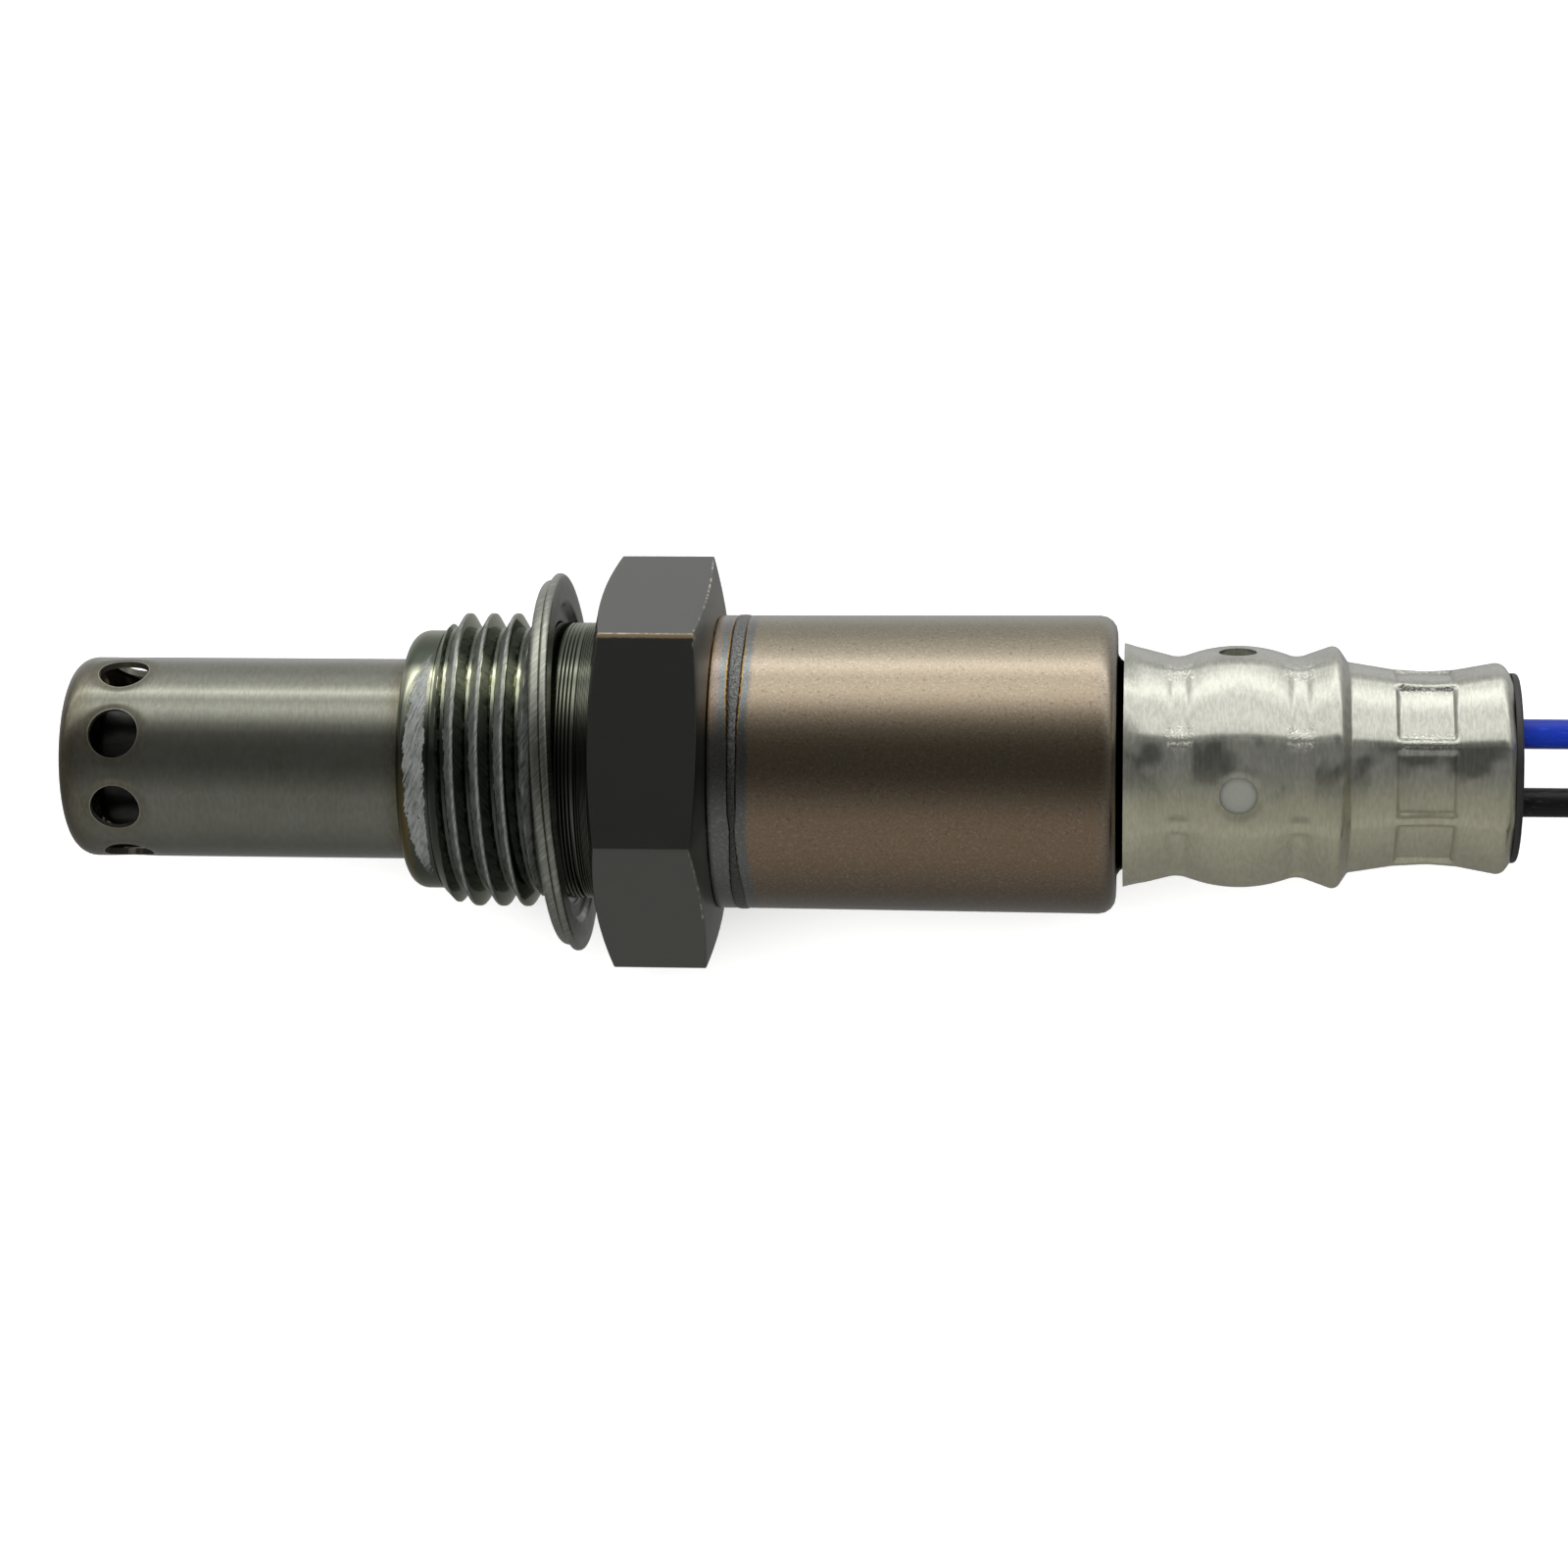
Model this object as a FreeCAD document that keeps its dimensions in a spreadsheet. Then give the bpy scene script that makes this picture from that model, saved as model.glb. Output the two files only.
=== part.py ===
import FreeCAD, Part
import math
import os
import types

import Sketcher

# Oxygen sensor for an exhaust pipe, lying on its side.
# The long axis is X, from the pierced tip (-X) to the cable (+X). The origin is on the axis, at the
# rear end of the screw thread. Z is up. Every length is in millimetres and every angle in degrees.

SIZES = {
    # fits between pieces
    "slide_fit": 0.03,
    "loose_fit": 0.1,
    # threaded shell, front to rear
    "lead_length": 2.25,
    "lead_diameter": 15.85,
    "lead_corner_radius": 1.0,
    "thread_length": 6.05,
    "thread_diameter": 18.0,
    "thread_chamfer": 0.5,
    "neck_length": 3.8,
    "neck_diameter": 16.9,
    "neck_corner_radius": 0.35,
    "hex_across_flats": 22.0,
    "hex_length": 6.17,
    "hex_front_chamfer": 0.5,
    "hex_front_chamfer_depth": 1.75,
    "hex_roll_angle": 5.6,
    "shoulder_length": 0.63,
    "shoulder_diameter": 18.2,
    "spigot_length": 3.66,
    "spigot_edge_radius": 0.4,
    "gas_bore_diameter": 7.2,
    "gas_bore_length": 3.2,
    "stack_bore_diameter": 11.8,
    "stack_seat_depth": 1.1,
    "shell_lip_thickness": 0.85,
    "shell_lip_diameter": 9.4,
    # folded sealing ring
    "gasket_outer_diameter": 23.2,
    "gasket_front_diameter": 22.3,
    "gasket_inner_diameter": 17.3,
    "gasket_thickness": 1.2,
    "gasket_slit_width": 0.12,
    "gasket_slit_depth": 1.2,
    "gasket_corner_radius": 0.22,
    "gasket_step_diameter": 19.6,
    "gasket_step_depth": 0.4,
    "gasket_centre": 1.0,
    "gasket_side_shift": -0.12,
    "gasket_lean_angle": 3.3,
    # outer and inner protection covers
    "cover_reach": 21.15,
    "cover_diameter": 12.3,
    "cover_wall": 0.4,
    "cover_tip_radius": 1.33,
    "cover_seat_depth": 1.9,
    "cover_hole_diameter": 3.05,
    "cover_hole_setback": 3.58,
    "cover_hole_count": 8,
    "cover_hole_angle": 13.2,
    "cover_end_hole_diameter": 2.4,
    "inner_cover_diameter": 8.5,
    "inner_cover_wall": 0.35,
    "inner_cover_setback": 1.6,
    "inner_cover_tip_radius": 1.0,
    "inner_cover_flange_thickness": 0.5,
    "inner_cover_hole_diameter": 1.5,
    "inner_cover_hole_reach": 5.5,
    "inner_cover_hole_count": 6,
    "inner_cover_end_hole_diameter": 2.0,
    # sensing element and what holds it
    "element_width": 4.2,
    "element_thickness": 1.5,
    "element_front_reach": 16.7,
    "element_length": 52.6,
    "element_chamfer": 0.3,
    "front_insulator_length": 4.2,
    "talc_length": 5.0,
    "spacer_length": 6.2,
    "spacer_nose_length": 2.6,
    "spacer_nose_diameter": 7.6,
    "spacer_nose_radius": 0.4,
    "clamp_ring_edge_radius": 0.2,
    # disc spring and rear insulator
    "disc_spring_height": 3.2,
    "disc_spring_thickness": 0.6,
    "disc_spring_outer_diameter": 16.4,
    "disc_spring_inner_diameter": 11.6,
    "rear_insulator_diameter": 13.2,
    "rear_insulator_front_radius": 0.5,
    "rear_insulator_step_length": 4.2,
    "rear_insulator_step_diameter": 11.4,
    "rear_insulator_step_radius": 0.4,
    "rear_insulator_pocket_depth": 11.4,
    "rear_insulator_pocket_width": 8.4,
    "rear_insulator_pocket_height": 5.6,
    "rear_insulator_pocket_radius": 0.8,
    "wire_pitch": 4.1,
    "wire_channel_diameter": 2.2,
    # contact springs and crimp sleeves
    "spring_strip_thickness": 0.3,
    "spring_strip_width": 1.0,
    "spring_strip_offset": 1.75,
    "spring_front_setback": 1.8,
    "spring_bow_position": 3.2,
    "spring_bow_length": 4.8,
    "spring_tip_lift": 0.53,
    "spring_bend_radius": 0.6,
    "spring_length": 19.2,
    "crimp_sleeve_diameter": 2.3,
    "crimp_sleeve_length": 8.0,
    "crimp_sleeve_gap": 1.6,
    "crimp_overlap": 2.5,
    # main cover
    "barrel_length": 24.18,
    "barrel_front_diameter": 17.9,
    "barrel_rear_diameter": 18.12,
    "barrel_wall": 0.55,
    "barrel_corner_radius": 1.35,
    "weld_position": 1.5,
    "weld_width": 0.84,
    "weld_height": 0.05,
    "barrel_neck_diameter": 11.0,
    "barrel_neck_length": 13.7,
    "barrel_neck_wall": 0.45,
    "barrel_window_diameter": 2.0,
    # breather sleeve
    "filter_thickness": 0.52,
    "filter_front_setback": 2.5,
    "filter_length": 9.7,
    "filter_shoulder_length": 1.7,
    "filter_bulge_diameter": 13.7,
    "filter_bulge_radius": 6.0,
    # vent cover, given at the corners of its outline before rounding: its waists, bulge, shoulder and
    # step by their places from the front edge, and its grip and rim by their places from the rear edge
    "vent_cover_gap": 0.4,
    "vent_cover_wall": 0.5,
    "vent_front_diameter": 14.8,
    "vent_first_waist_position": 3.29,
    "vent_first_waist_diameter": 13.14,
    "vent_first_waist_radius": 1.9,
    "vent_bulge_position": 6.9,
    "vent_bulge_diameter": 15.46,
    "vent_bulge_radius": 8.6,
    "vent_second_waist_position": 10.44,
    "vent_second_waist_diameter": 13.19,
    "vent_second_waist_radius": 1.5,
    "vent_shoulder_position": 12.75,
    "vent_shoulder_diameter": 14.84,
    "vent_shoulder_radius": 0.55,
    "vent_step_position": 13.44,
    "vent_step_diameter": 12.72,
    "vent_step_radius": 0.25,
    "vent_grip_front_position": 7.0,
    "vent_grip_front_diameter": 11.86,
    "vent_grip_middle_position": 4.9,
    "vent_grip_middle_diameter": 11.6,
    "vent_grip_middle_radius": 6.0,
    "vent_grip_rear_position": 3.2,
    "vent_grip_rear_diameter": 11.84,
    "vent_grip_rear_radius": 2.0,
    "vent_rim_position": 0.5,
    "vent_rim_diameter": 12.84,
    "vent_rim_radius": 0.7,
    "vent_cover_length": 23.1,
    "vent_end_diameter": 11.4,
    "vent_hole_position": 6.8,
    "vent_hole_diameter": 2.28,
    "vent_hole_count": 4,
    "vent_hole_angle": -15.1,
    "crimp_count": 8,
    "crimp_angle": 34.6,
    "waist_crimp_width": 1.1,
    "waist_crimp_depth": 0.08,
    "waist_crimp_span": 37.0,
    "grip_crimp_start": 6.86,
    "grip_crimp_length": 3.38,
    "grip_crimp_depth": 0.18,
    "grip_crimp_span": 38.0,
    # grommet
    "grommet_stand_out": 0.46,
    "grommet_rim_diameter": 11.45,
    "grommet_rim_radius": 0.25,
    # leads and their sleeve
    "lead_wire_diameter": 1.75,
    "sleeve_diameter": 5.5,
    "sleeve_lead_pitch": 1.84,
    # plug
    "plug_width": 16.0,
    "plug_height": 14.0,
    "plug_wall": 1.5,
    "plug_corner_radius": 1.6,
    "plug_length": 28.0,
    "plug_mouth_depth": 16.0,
    "plug_floor": 1.5,
    "plug_seal_seat_depth": 5.0,
    "plug_pin_pitch_across": 5.0,
    "plug_pin_pitch_up": 4.4,
    "plug_latch_width": 5.0,
    "plug_latch_height": 1.8,
    "plug_latch_setback": 3.0,
    "plug_latch_length": 6.0,
    "plug_latch_ramp_length": 3.6,
    "plug_latch_ramp_radius": 0.6,
    "plug_latch_edge_radius": 0.3,
    "plug_rail_width": 1.2,
    "plug_rail_height": 1.2,
    "plug_rail_length": 20.0,
    "plug_rail_spread": 9.0,
    "pin_diameter": 1.2,
    "pin_tip_radius": 0.36,
    "pin_recess": 5.2,
    "pin_barrel_diameter": 2.5,
    "pin_barrel_length": 5.0,
    "pin_keeper_thickness": 2.5,
    "wire_seal_length": 4.2,
    "plug_cap_length": 5.0,
    "plug_cap_wall": 1.4,
    "plug_boss_length": 4.0,
    "plug_boss_diameter": 9.0,
}

# A cord's route is a list chosen by hand. The sleeve leaves the mouth of the bundle, veers off and
# turns back in one round bend, lying on the floor, then rises to the rear of the plug. Each point
# has its place along and across, and 1 where it is at the height of the plug's middle.
SLEEVE_ROUTE = [
    (91.0, 0.0, 0),
    (112.0, 0.0, 0),
    (136.0, 3.2, 0),
    (158.0, 10.0, 0),
    (177.4, 12.6, 0),
    (188.3, 6.8, 0),
    (193.7, -4.2, 0),
    (191.5, -16.3, 0),
    (182.7, -24.9, 0),
    (170.5, -26.6, 0),
    (152.0, -25.4, 0),
    (136.0, -22.3, 0),
    (124.0, -22.0, 1),
    (115.0, -22.0, 1),
]
PLUG_Y = -22.0
BUNDLE_MOUTH_X = 91.0
LEAD_DROP_X = 67.2
LEAD_LAND_X = 80.5
# each arc takes up this share of the shorter of its two runs
ARC_SHARE = 0.45
# how far a tube's volume may be from its section times its length
VOLUME_TOLERANCE = 0.005

# where each lead sits, looking from the cable end: its side of the Y axis and of the Z axis
WIRE_CORNERS = {
    "blue": (1, 1),
    "black_1": (-1, 1),
    "white": (1, -1),
    "black_2": (-1, -1),
}


class Length:
    """A size that is drawn with its value and bound by its expression."""

    def __init__(self, value, text):
        self.value = float(value)
        self.text = text

    def __add__(self, other):
        other = length(other)
        return Length(self.value + other.value, f"({self.text} + {other.text})")

    def __sub__(self, other):
        other = length(other)
        return Length(self.value - other.value, f"({self.text} - {other.text})")

    def __mul__(self, other):
        other = length(other)
        return Length(self.value * other.value, f"({self.text} * {other.text})")

    def __truediv__(self, other):
        other = length(other)
        return Length(self.value / other.value, f"({self.text} / {other.text})")

    def __radd__(self, other):
        return length(other) + self

    def __rsub__(self, other):
        return length(other) - self

    def __rmul__(self, other):
        return length(other) * self

    def __rtruediv__(self, other):
        return length(other) / self

    def __neg__(self):
        return length(0) - self


def length(number):
    """Give a plain number the form of a Length."""
    if isinstance(number, Length):
        return number
    return Length(number, repr(float(number)))


def smaller(one, other):
    return Length(min(one.value, other.value), f"min({one.text}; {other.text})")


doc = FreeCAD.newDocument("oxygen_sensor")
sheet = doc.addObject("Spreadsheet::Sheet", "Sizes")
for row, (name, value) in enumerate(SIZES.items(), 1):
    sheet.set(f"A{row}", name)
    sheet.set(f"B{row}", str(value))
    sheet.setAlias(f"B{row}", name)
doc.recompute()
size = types.SimpleNamespace(**{name: Length(getattr(sheet, name), f"Sizes.{name}") for name in SIZES})

# stations along the axis, each worked out from the pieces before it
shell_front = -(size.lead_length + size.thread_length)
hex_front = size.neck_length
hex_rear = hex_front + size.hex_length
shoulder = hex_rear + size.shoulder_length
spigot_rear = shoulder + size.spigot_length
cover_tip = shell_front - size.cover_reach
cover_seat = shell_front + size.cover_seat_depth
stack_front = cover_seat + size.gas_bore_length
talc_front = stack_front + size.slide_fit + size.front_insulator_length
spacer_front = talc_front + size.slide_fit + size.talc_length
clamp_front = spacer_front + size.slide_fit + size.spacer_length
lip_front = spigot_rear - size.shell_lip_thickness
barrel_front = shoulder + size.slide_fit
barrel_rear = barrel_front + size.barrel_length
neck_rear = barrel_rear + size.barrel_neck_length
insulator_front = spigot_rear + size.disc_spring_height + size.slide_fit * 2
insulator_rear = barrel_rear - size.barrel_wall - size.slide_fit
vent_front = barrel_rear + size.vent_cover_gap
vent_rear = vent_front + size.vent_cover_length
grommet_rear = vent_rear + size.grommet_stand_out
crimp_sleeve_front = insulator_rear + size.crimp_sleeve_gap
crimp_sleeve_rear = crimp_sleeve_front + size.crimp_sleeve_length
floor_z = -(size.gasket_outer_diameter / 2)


def new_body(label):
    body = doc.addObject("PartDesign::Body", label)
    body.Label = label
    return body


def place(body, across=0, side=0, up=0):
    """Bind a body's place to expressions."""
    for letter, value in zip("xyz", (across, side, up)):
        body.setExpression(f".Placement.Base.{letter}", length(value).text)


def turn(body, axis, angle):
    """Turn a body in its place and bind the angle."""
    rotation = FreeCAD.Rotation(FreeCAD.Vector(*axis), angle.value)
    body.Placement = FreeCAD.Placement(body.Placement.Base, rotation)
    body.setExpression(".Placement.Rotation.Angle", angle.text)


def roll(body, angle):
    """Roll a body about its own X axis, from up towards +Y."""
    turn(body, (-1, 0, 0), angle)


def origin_feature(body, role):
    return next(item for item in body.Origin.OriginFeatures if item.Role == role)


def new_sketch(body, name, plane, offset=0):
    """A sketch on one of the body's origin planes, moved along the plane's normal."""
    sketch = body.newObject("Sketcher::SketchObject", f"{body.Label}_{name}")
    sketch.AttachmentSupport = [(origin_feature(body, plane), "")]
    sketch.MapMode = "FlatFace"
    sketch.setExpression(".AttachmentOffset.Base.z", length(offset).text)
    return sketch


def bind_constraint(sketch, constraint, value):
    index = sketch.addConstraint(constraint)
    sketch.setExpression(f"Constraints[{index}]", value.text)


def bind_point(sketch, geometry, end, across, up):
    """Fix a point at its distances from the sketch's origin."""
    for kind, axis, value in (("DistanceX", -2, across), ("DistanceY", -1, up)):
        if value.value == 0:
            sketch.addConstraint(Sketcher.Constraint("PointOnObject", geometry, end, axis))
        else:
            distance = Sketcher.Constraint(kind, -1, 1, geometry, end, value.value)
            bind_constraint(sketch, distance, value)


def rounding_points(before, corner, after, radius):
    """Where a rounding of that radius leaves the two sides of a corner, and its centre."""
    back = (before - corner).normalize()
    ahead = (after - corner).normalize()
    half = back.getAngle(ahead) / 2
    reach = radius / math.tan(half)
    centre = corner + (back + ahead).normalize() * (radius / math.sin(half))
    return corner + back * reach, corner + ahead * reach, centre


def draw_outline(sketch, corners):
    """Draw a closed outline. Each corner is (across, up) or (across, up, rounding radius)."""
    corners = [tuple(length(part) for part in corner) for corner in corners]
    count = len(corners)
    points = [FreeCAD.Vector(corner[0].value, corner[1].value, 0) for corner in corners]
    leaves = {}
    for index, corner in enumerate(corners):
        if len(corner) == 3:
            around = points[index - 1], points[index], points[(index + 1) % count]
            leaves[index] = rounding_points(*around, corner[2].value)
        else:
            leaves[index] = points[index], points[index], None
    first = sketch.GeometryCount
    for index in range(count):
        following = (index + 1) % count
        sketch.addGeometry(Part.LineSegment(leaves[index][1], leaves[following][0]), False)
    for index, corner in enumerate(corners):
        line_in = first + (index - 1) % count
        line_out = first + index
        if len(corner) == 2:
            sketch.addConstraint(Sketcher.Constraint("Coincident", line_in, 2, line_out, 1))
            bind_point(sketch, line_out, 1, corner[0], corner[1])
            continue
        entry, leave, centre = leaves[index]
        start = math.atan2(entry.y - centre.y, entry.x - centre.x)
        stop = math.atan2(leave.y - centre.y, leave.x - centre.x)
        heading = points[index] - points[index - 1]
        left_turn = heading.cross(points[(index + 1) % count] - points[index]).z > 0
        if not left_turn:
            start, stop = stop, start
        circle = Part.Circle(centre, FreeCAD.Vector(0, 0, 1), corner[2].value)
        arc = sketch.addGeometry(Part.ArcOfCircle(circle, start, stop), False)
        point = sketch.addGeometry(Part.Point(points[index]), True)
        sketch.addConstraint(Sketcher.Constraint("Tangent", line_in, 2, arc, 1 if left_turn else 2))
        sketch.addConstraint(Sketcher.Constraint("Tangent", line_out, 1, arc, 2 if left_turn else 1))
        sketch.addConstraint(Sketcher.Constraint("PointOnObject", point, 1, line_in))
        sketch.addConstraint(Sketcher.Constraint("PointOnObject", point, 1, line_out))
        bind_point(sketch, point, 1, corner[0], corner[1])
        bind_constraint(sketch, Sketcher.Constraint("Radius", arc, corner[2].value), corner[2])


def draw_circle(sketch, across, up, diameter):
    across = length(across)
    up = length(up)
    centre = FreeCAD.Vector(across.value, up.value, 0)
    circle = Part.Circle(centre, FreeCAD.Vector(0, 0, 1), diameter.value / 2)
    geometry = sketch.addGeometry(circle, False)
    bind_point(sketch, geometry, 3, across, up)
    bind_constraint(sketch, Sketcher.Constraint("Diameter", geometry, diameter.value), diameter)


def box_corners(width, height, radius=None, side=0, up=0):
    """The corners of a rectangle about a centre, sharp or rounded."""
    ends = [(-1, -1), (1, -1), (1, 1), (-1, 1)]
    corners = [(side + width / 2 * right, up + height / 2 * top) for right, top in ends]
    return corners if radius is None else [corner + (radius,) for corner in corners]


def revolve(body, name, corners):
    """Turn an outline of (distance along the axis, radius) corners about the X axis."""
    sketch = new_sketch(body, f"{name}_outline", "XZ_Plane")
    draw_outline(sketch, corners)
    feature = body.newObject("PartDesign::Revolution", f"{body.Label}_{name}")
    feature.Profile = sketch
    feature.ReferenceAxis = (sketch, ["H_Axis"])
    feature.Angle = 360
    doc.recompute()
    return feature


def pad(body, name, sketch, depth, both_ways=False):
    feature = body.newObject("PartDesign::Pad", f"{body.Label}_{name}")
    feature.Profile = sketch
    feature.Midplane = both_ways
    feature.setExpression("Length", depth.text)
    doc.recompute()
    return feature


def pocket(body, name, sketch, depth=None):
    """Cut a sketch along its plane's normal to a depth, or right through both ways."""
    before = body.Shape.Volume
    feature = body.newObject("PartDesign::Pocket", f"{body.Label}_{name}")
    feature.Profile = sketch
    if depth is None:
        feature.Type = "ThroughAll"
        feature.Midplane = True
    else:
        feature.Reversed = True
        feature.setExpression("Length", depth.text)
    doc.recompute()
    if body.Shape.Volume >= before:
        raise RuntimeError(f"{feature.Name} cuts nothing")
    return feature


def ring_of(body, feature, count):
    """Repeat a cut evenly about the X axis."""
    pattern = body.newObject("PartDesign::PolarPattern", f"{feature.Name}_ring")
    pattern.Originals = [feature]
    pattern.Axis = (origin_feature(body, "X_Axis"), [""])
    pattern.Angle = 360
    pattern.setExpression("Occurrences", count.text)
    body.Tip = pattern
    doc.recompute()
    return pattern


def radial_holes(body, name, across, diameter, count, reach):
    """Holes through one wall of a tube, spread evenly round it."""
    sketch = new_sketch(body, f"{name}_outline", "XY_Plane")
    draw_circle(sketch, across, 0, diameter)
    return ring_of(body, pocket(body, name, sketch, reach), count)


def turned_piece(label, across, corners):
    """A body turned about the X axis, with its front end at a station."""
    body = new_body(label)
    revolve(body, "turned", corners)
    place(body, across)
    return body


def make_outer_protection_cover():
    """Deep-drawn steel cup, open at the rear, with a ring of side holes and one hole in its end."""
    outer = size.cover_diameter / 2
    inner = outer - size.cover_wall
    rear = size.cover_reach + size.cover_seat_depth - size.inner_cover_flange_thickness - size.slide_fit * 2
    end_hole = size.cover_end_hole_diameter / 2
    body = turned_piece("outer_protection_cover", cover_tip, [
        (0, end_hole),
        (0, outer, size.cover_tip_radius),
        (rear, outer),
        (rear, inner),
        (size.cover_wall, inner, size.cover_tip_radius - size.cover_wall),
        (size.cover_wall, end_hole),
    ])
    setback, diameter = size.cover_hole_setback, size.cover_hole_diameter
    radial_holes(body, "side_hole", setback, diameter, size.cover_hole_count, outer * 2)
    roll(body, size.cover_hole_angle)


def make_inner_protection_cover():
    """Smaller cup inside the outer one, with a flange that is clamped in the shell."""
    front = cover_tip + size.inner_cover_setback
    rear = cover_seat - size.slide_fit - front
    outer = size.inner_cover_diameter / 2
    inner = outer - size.inner_cover_wall
    flange = size.cover_diameter / 2
    end_hole = size.inner_cover_end_hole_diameter / 2
    body = turned_piece("inner_protection_cover", front, [
        (0, end_hole),
        (0, outer, size.inner_cover_tip_radius),
        (rear - size.inner_cover_flange_thickness, outer),
        (rear - size.inner_cover_flange_thickness, flange),
        (rear, flange),
        (rear, inner),
        (size.inner_cover_wall, inner, size.inner_cover_tip_radius - size.inner_cover_wall),
        (size.inner_cover_wall, end_hole),
    ])
    holes = rear - size.inner_cover_hole_reach
    diameter = size.inner_cover_hole_diameter
    radial_holes(body, "side_hole", holes, diameter, size.inner_cover_hole_count, outer * 2)


# a rounding takes at most this share of the wall that it rounds
ROUNDED_SHARE = 0.9
HEX_SIDES = 6


def make_threaded_shell():
    """Turned steel shell: plain lead, screw thread (left plain here), neck, hexagon and rear spigot."""
    corner = size.hex_across_flats / 2 / math.cos(math.pi / HEX_SIDES)
    lead = size.lead_diameter / 2
    thread = size.thread_diameter / 2
    spigot = size.barrel_front_diameter / 2 - size.barrel_wall - size.slide_fit
    seat = size.cover_diameter / 2 + size.slide_fit
    lead_rounding = smaller(size.lead_corner_radius, (lead - seat) * ROUNDED_SHARE)
    stack = size.stack_bore_diameter / 2
    start = size.lead_length
    body = turned_piece("threaded_shell", shell_front, [
        (0, seat),
        (0, lead, lead_rounding),
        (start, lead),
        (start, thread - size.thread_chamfer),
        (start + size.thread_chamfer, thread),
        (-shell_front - size.thread_chamfer, thread),
        (-shell_front, thread - size.thread_chamfer),
        (-shell_front, size.neck_diameter / 2),
        (hex_front - shell_front, size.neck_diameter / 2, size.neck_corner_radius),
        (hex_front - shell_front, corner - size.hex_front_chamfer_depth),
        (hex_front - shell_front + size.hex_front_chamfer, corner),
        (hex_rear - shell_front, corner),
        (shoulder - shell_front, size.shoulder_diameter / 2),
        (shoulder - shell_front, spigot),
        (spigot_rear - shell_front, spigot, size.spigot_edge_radius),
        (spigot_rear - shell_front, size.shell_lip_diameter / 2),
        (lip_front - shell_front, size.shell_lip_diameter / 2),
        (lip_front - shell_front, stack),
        (stack_front + size.stack_seat_depth - shell_front, stack),
        (stack_front - shell_front, size.gas_bore_diameter / 2),
        (size.cover_seat_depth, size.gas_bore_diameter / 2),
        (size.cover_seat_depth, seat),
    ])
    sketch = new_sketch(body, "flats_outline", "YZ_Plane", hex_front - shell_front)
    # the flats face out at the roll angle and at even steps from it, so the corners lie between them
    corners = []
    for number in range(HEX_SIDES):
        angle = math.radians(size.hex_roll_angle.value + 360 / HEX_SIDES * (number + 0.5))
        corners.append((corner * math.sin(angle), corner * math.cos(angle)))
    draw_outline(sketch, corners)
    # what lies between the hexagon and a circle well outside it is cut away
    draw_circle(sketch, 0, 0, corner * 3)
    pocket(body, "flats", sketch, size.hex_length + size.shoulder_length)


def make_gasket_ring():
    """Sheet-steel ring folded double, open at its rim, loose on the neck and leaning a little."""
    rim = size.gasket_outer_diameter / 2
    front_rim = size.gasket_front_diameter / 2
    bore = size.gasket_inner_diameter / 2
    step = size.gasket_step_diameter / 2
    middle = size.gasket_thickness / 2
    slit = size.gasket_slit_width / 2
    recess = middle - size.gasket_step_depth
    corner = size.gasket_corner_radius
    body = turned_piece("gasket_ring", size.gasket_centre, [
        (-middle, bore, corner),
        (-middle, front_rim, corner),
        (-slit, front_rim),
        (-slit, rim - size.gasket_slit_depth),
        (slit, rim - size.gasket_slit_depth),
        (slit, rim),
        (middle, rim, corner),
        (middle, step),
        (recess, step),
        (recess, bore, corner),
    ])
    turn(body, (0, 0, 1), size.gasket_lean_angle)
    place(body, size.gasket_centre, size.gasket_side_shift)


def cut_element_slot(body):
    """The slot through which the flat element passes."""
    sketch = new_sketch(body, "slot_outline", "YZ_Plane")
    width = size.element_width + size.loose_fit * 2
    height = size.element_thickness + size.loose_fit * 2
    draw_outline(sketch, box_corners(width, height))
    pocket(body, "slot", sketch)


def make_front_insulator():
    """Alumina holder that sits on the cone at the bottom of the shell's bore."""
    outer = size.stack_bore_diameter / 2 - size.slide_fit
    body = turned_piece("front_insulator", stack_front + size.slide_fit, [
        (0, 0),
        (0, size.gas_bore_diameter / 2),
        (size.stack_seat_depth, outer),
        (size.front_insulator_length, outer),
        (size.front_insulator_length, 0),
    ])
    cut_element_slot(body)


def make_talc_seal():
    """Pressed talc powder that seals the element in the shell."""
    outer = size.stack_bore_diameter / 2 - size.slide_fit
    body = turned_piece("talc_seal", talc_front, [
        (0, 0),
        (0, outer),
        (size.talc_length, outer),
        (size.talc_length, 0),
    ])
    cut_element_slot(body)


def make_spacer_sleeve():
    """Ceramic sleeve with a nose, through which the shell's lip keeps the talc pressed."""
    outer = size.stack_bore_diameter / 2 - size.slide_fit
    nose = size.spacer_nose_diameter / 2
    rear = size.spacer_length + size.spacer_nose_length
    body = turned_piece("spacer_sleeve", spacer_front, [
        (0, 0),
        (0, outer),
        (size.spacer_length, outer),
        (size.spacer_length, nose),
        (rear, nose, size.spacer_nose_radius),
        (rear, 0),
    ])
    cut_element_slot(body)


def make_clamp_ring():
    """Soft metal ring under the rolled lip of the shell."""
    outer = size.stack_bore_diameter / 2 - size.slide_fit
    inner = size.spacer_nose_diameter / 2 + size.loose_fit
    thickness = lip_front - clamp_front - size.slide_fit
    edge = size.clamp_ring_edge_radius
    turned_piece("clamp_ring", clamp_front, [
        (0, inner, edge),
        (0, outer, edge),
        (thickness, outer, edge),
        (thickness, inner, edge),
    ])


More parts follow.
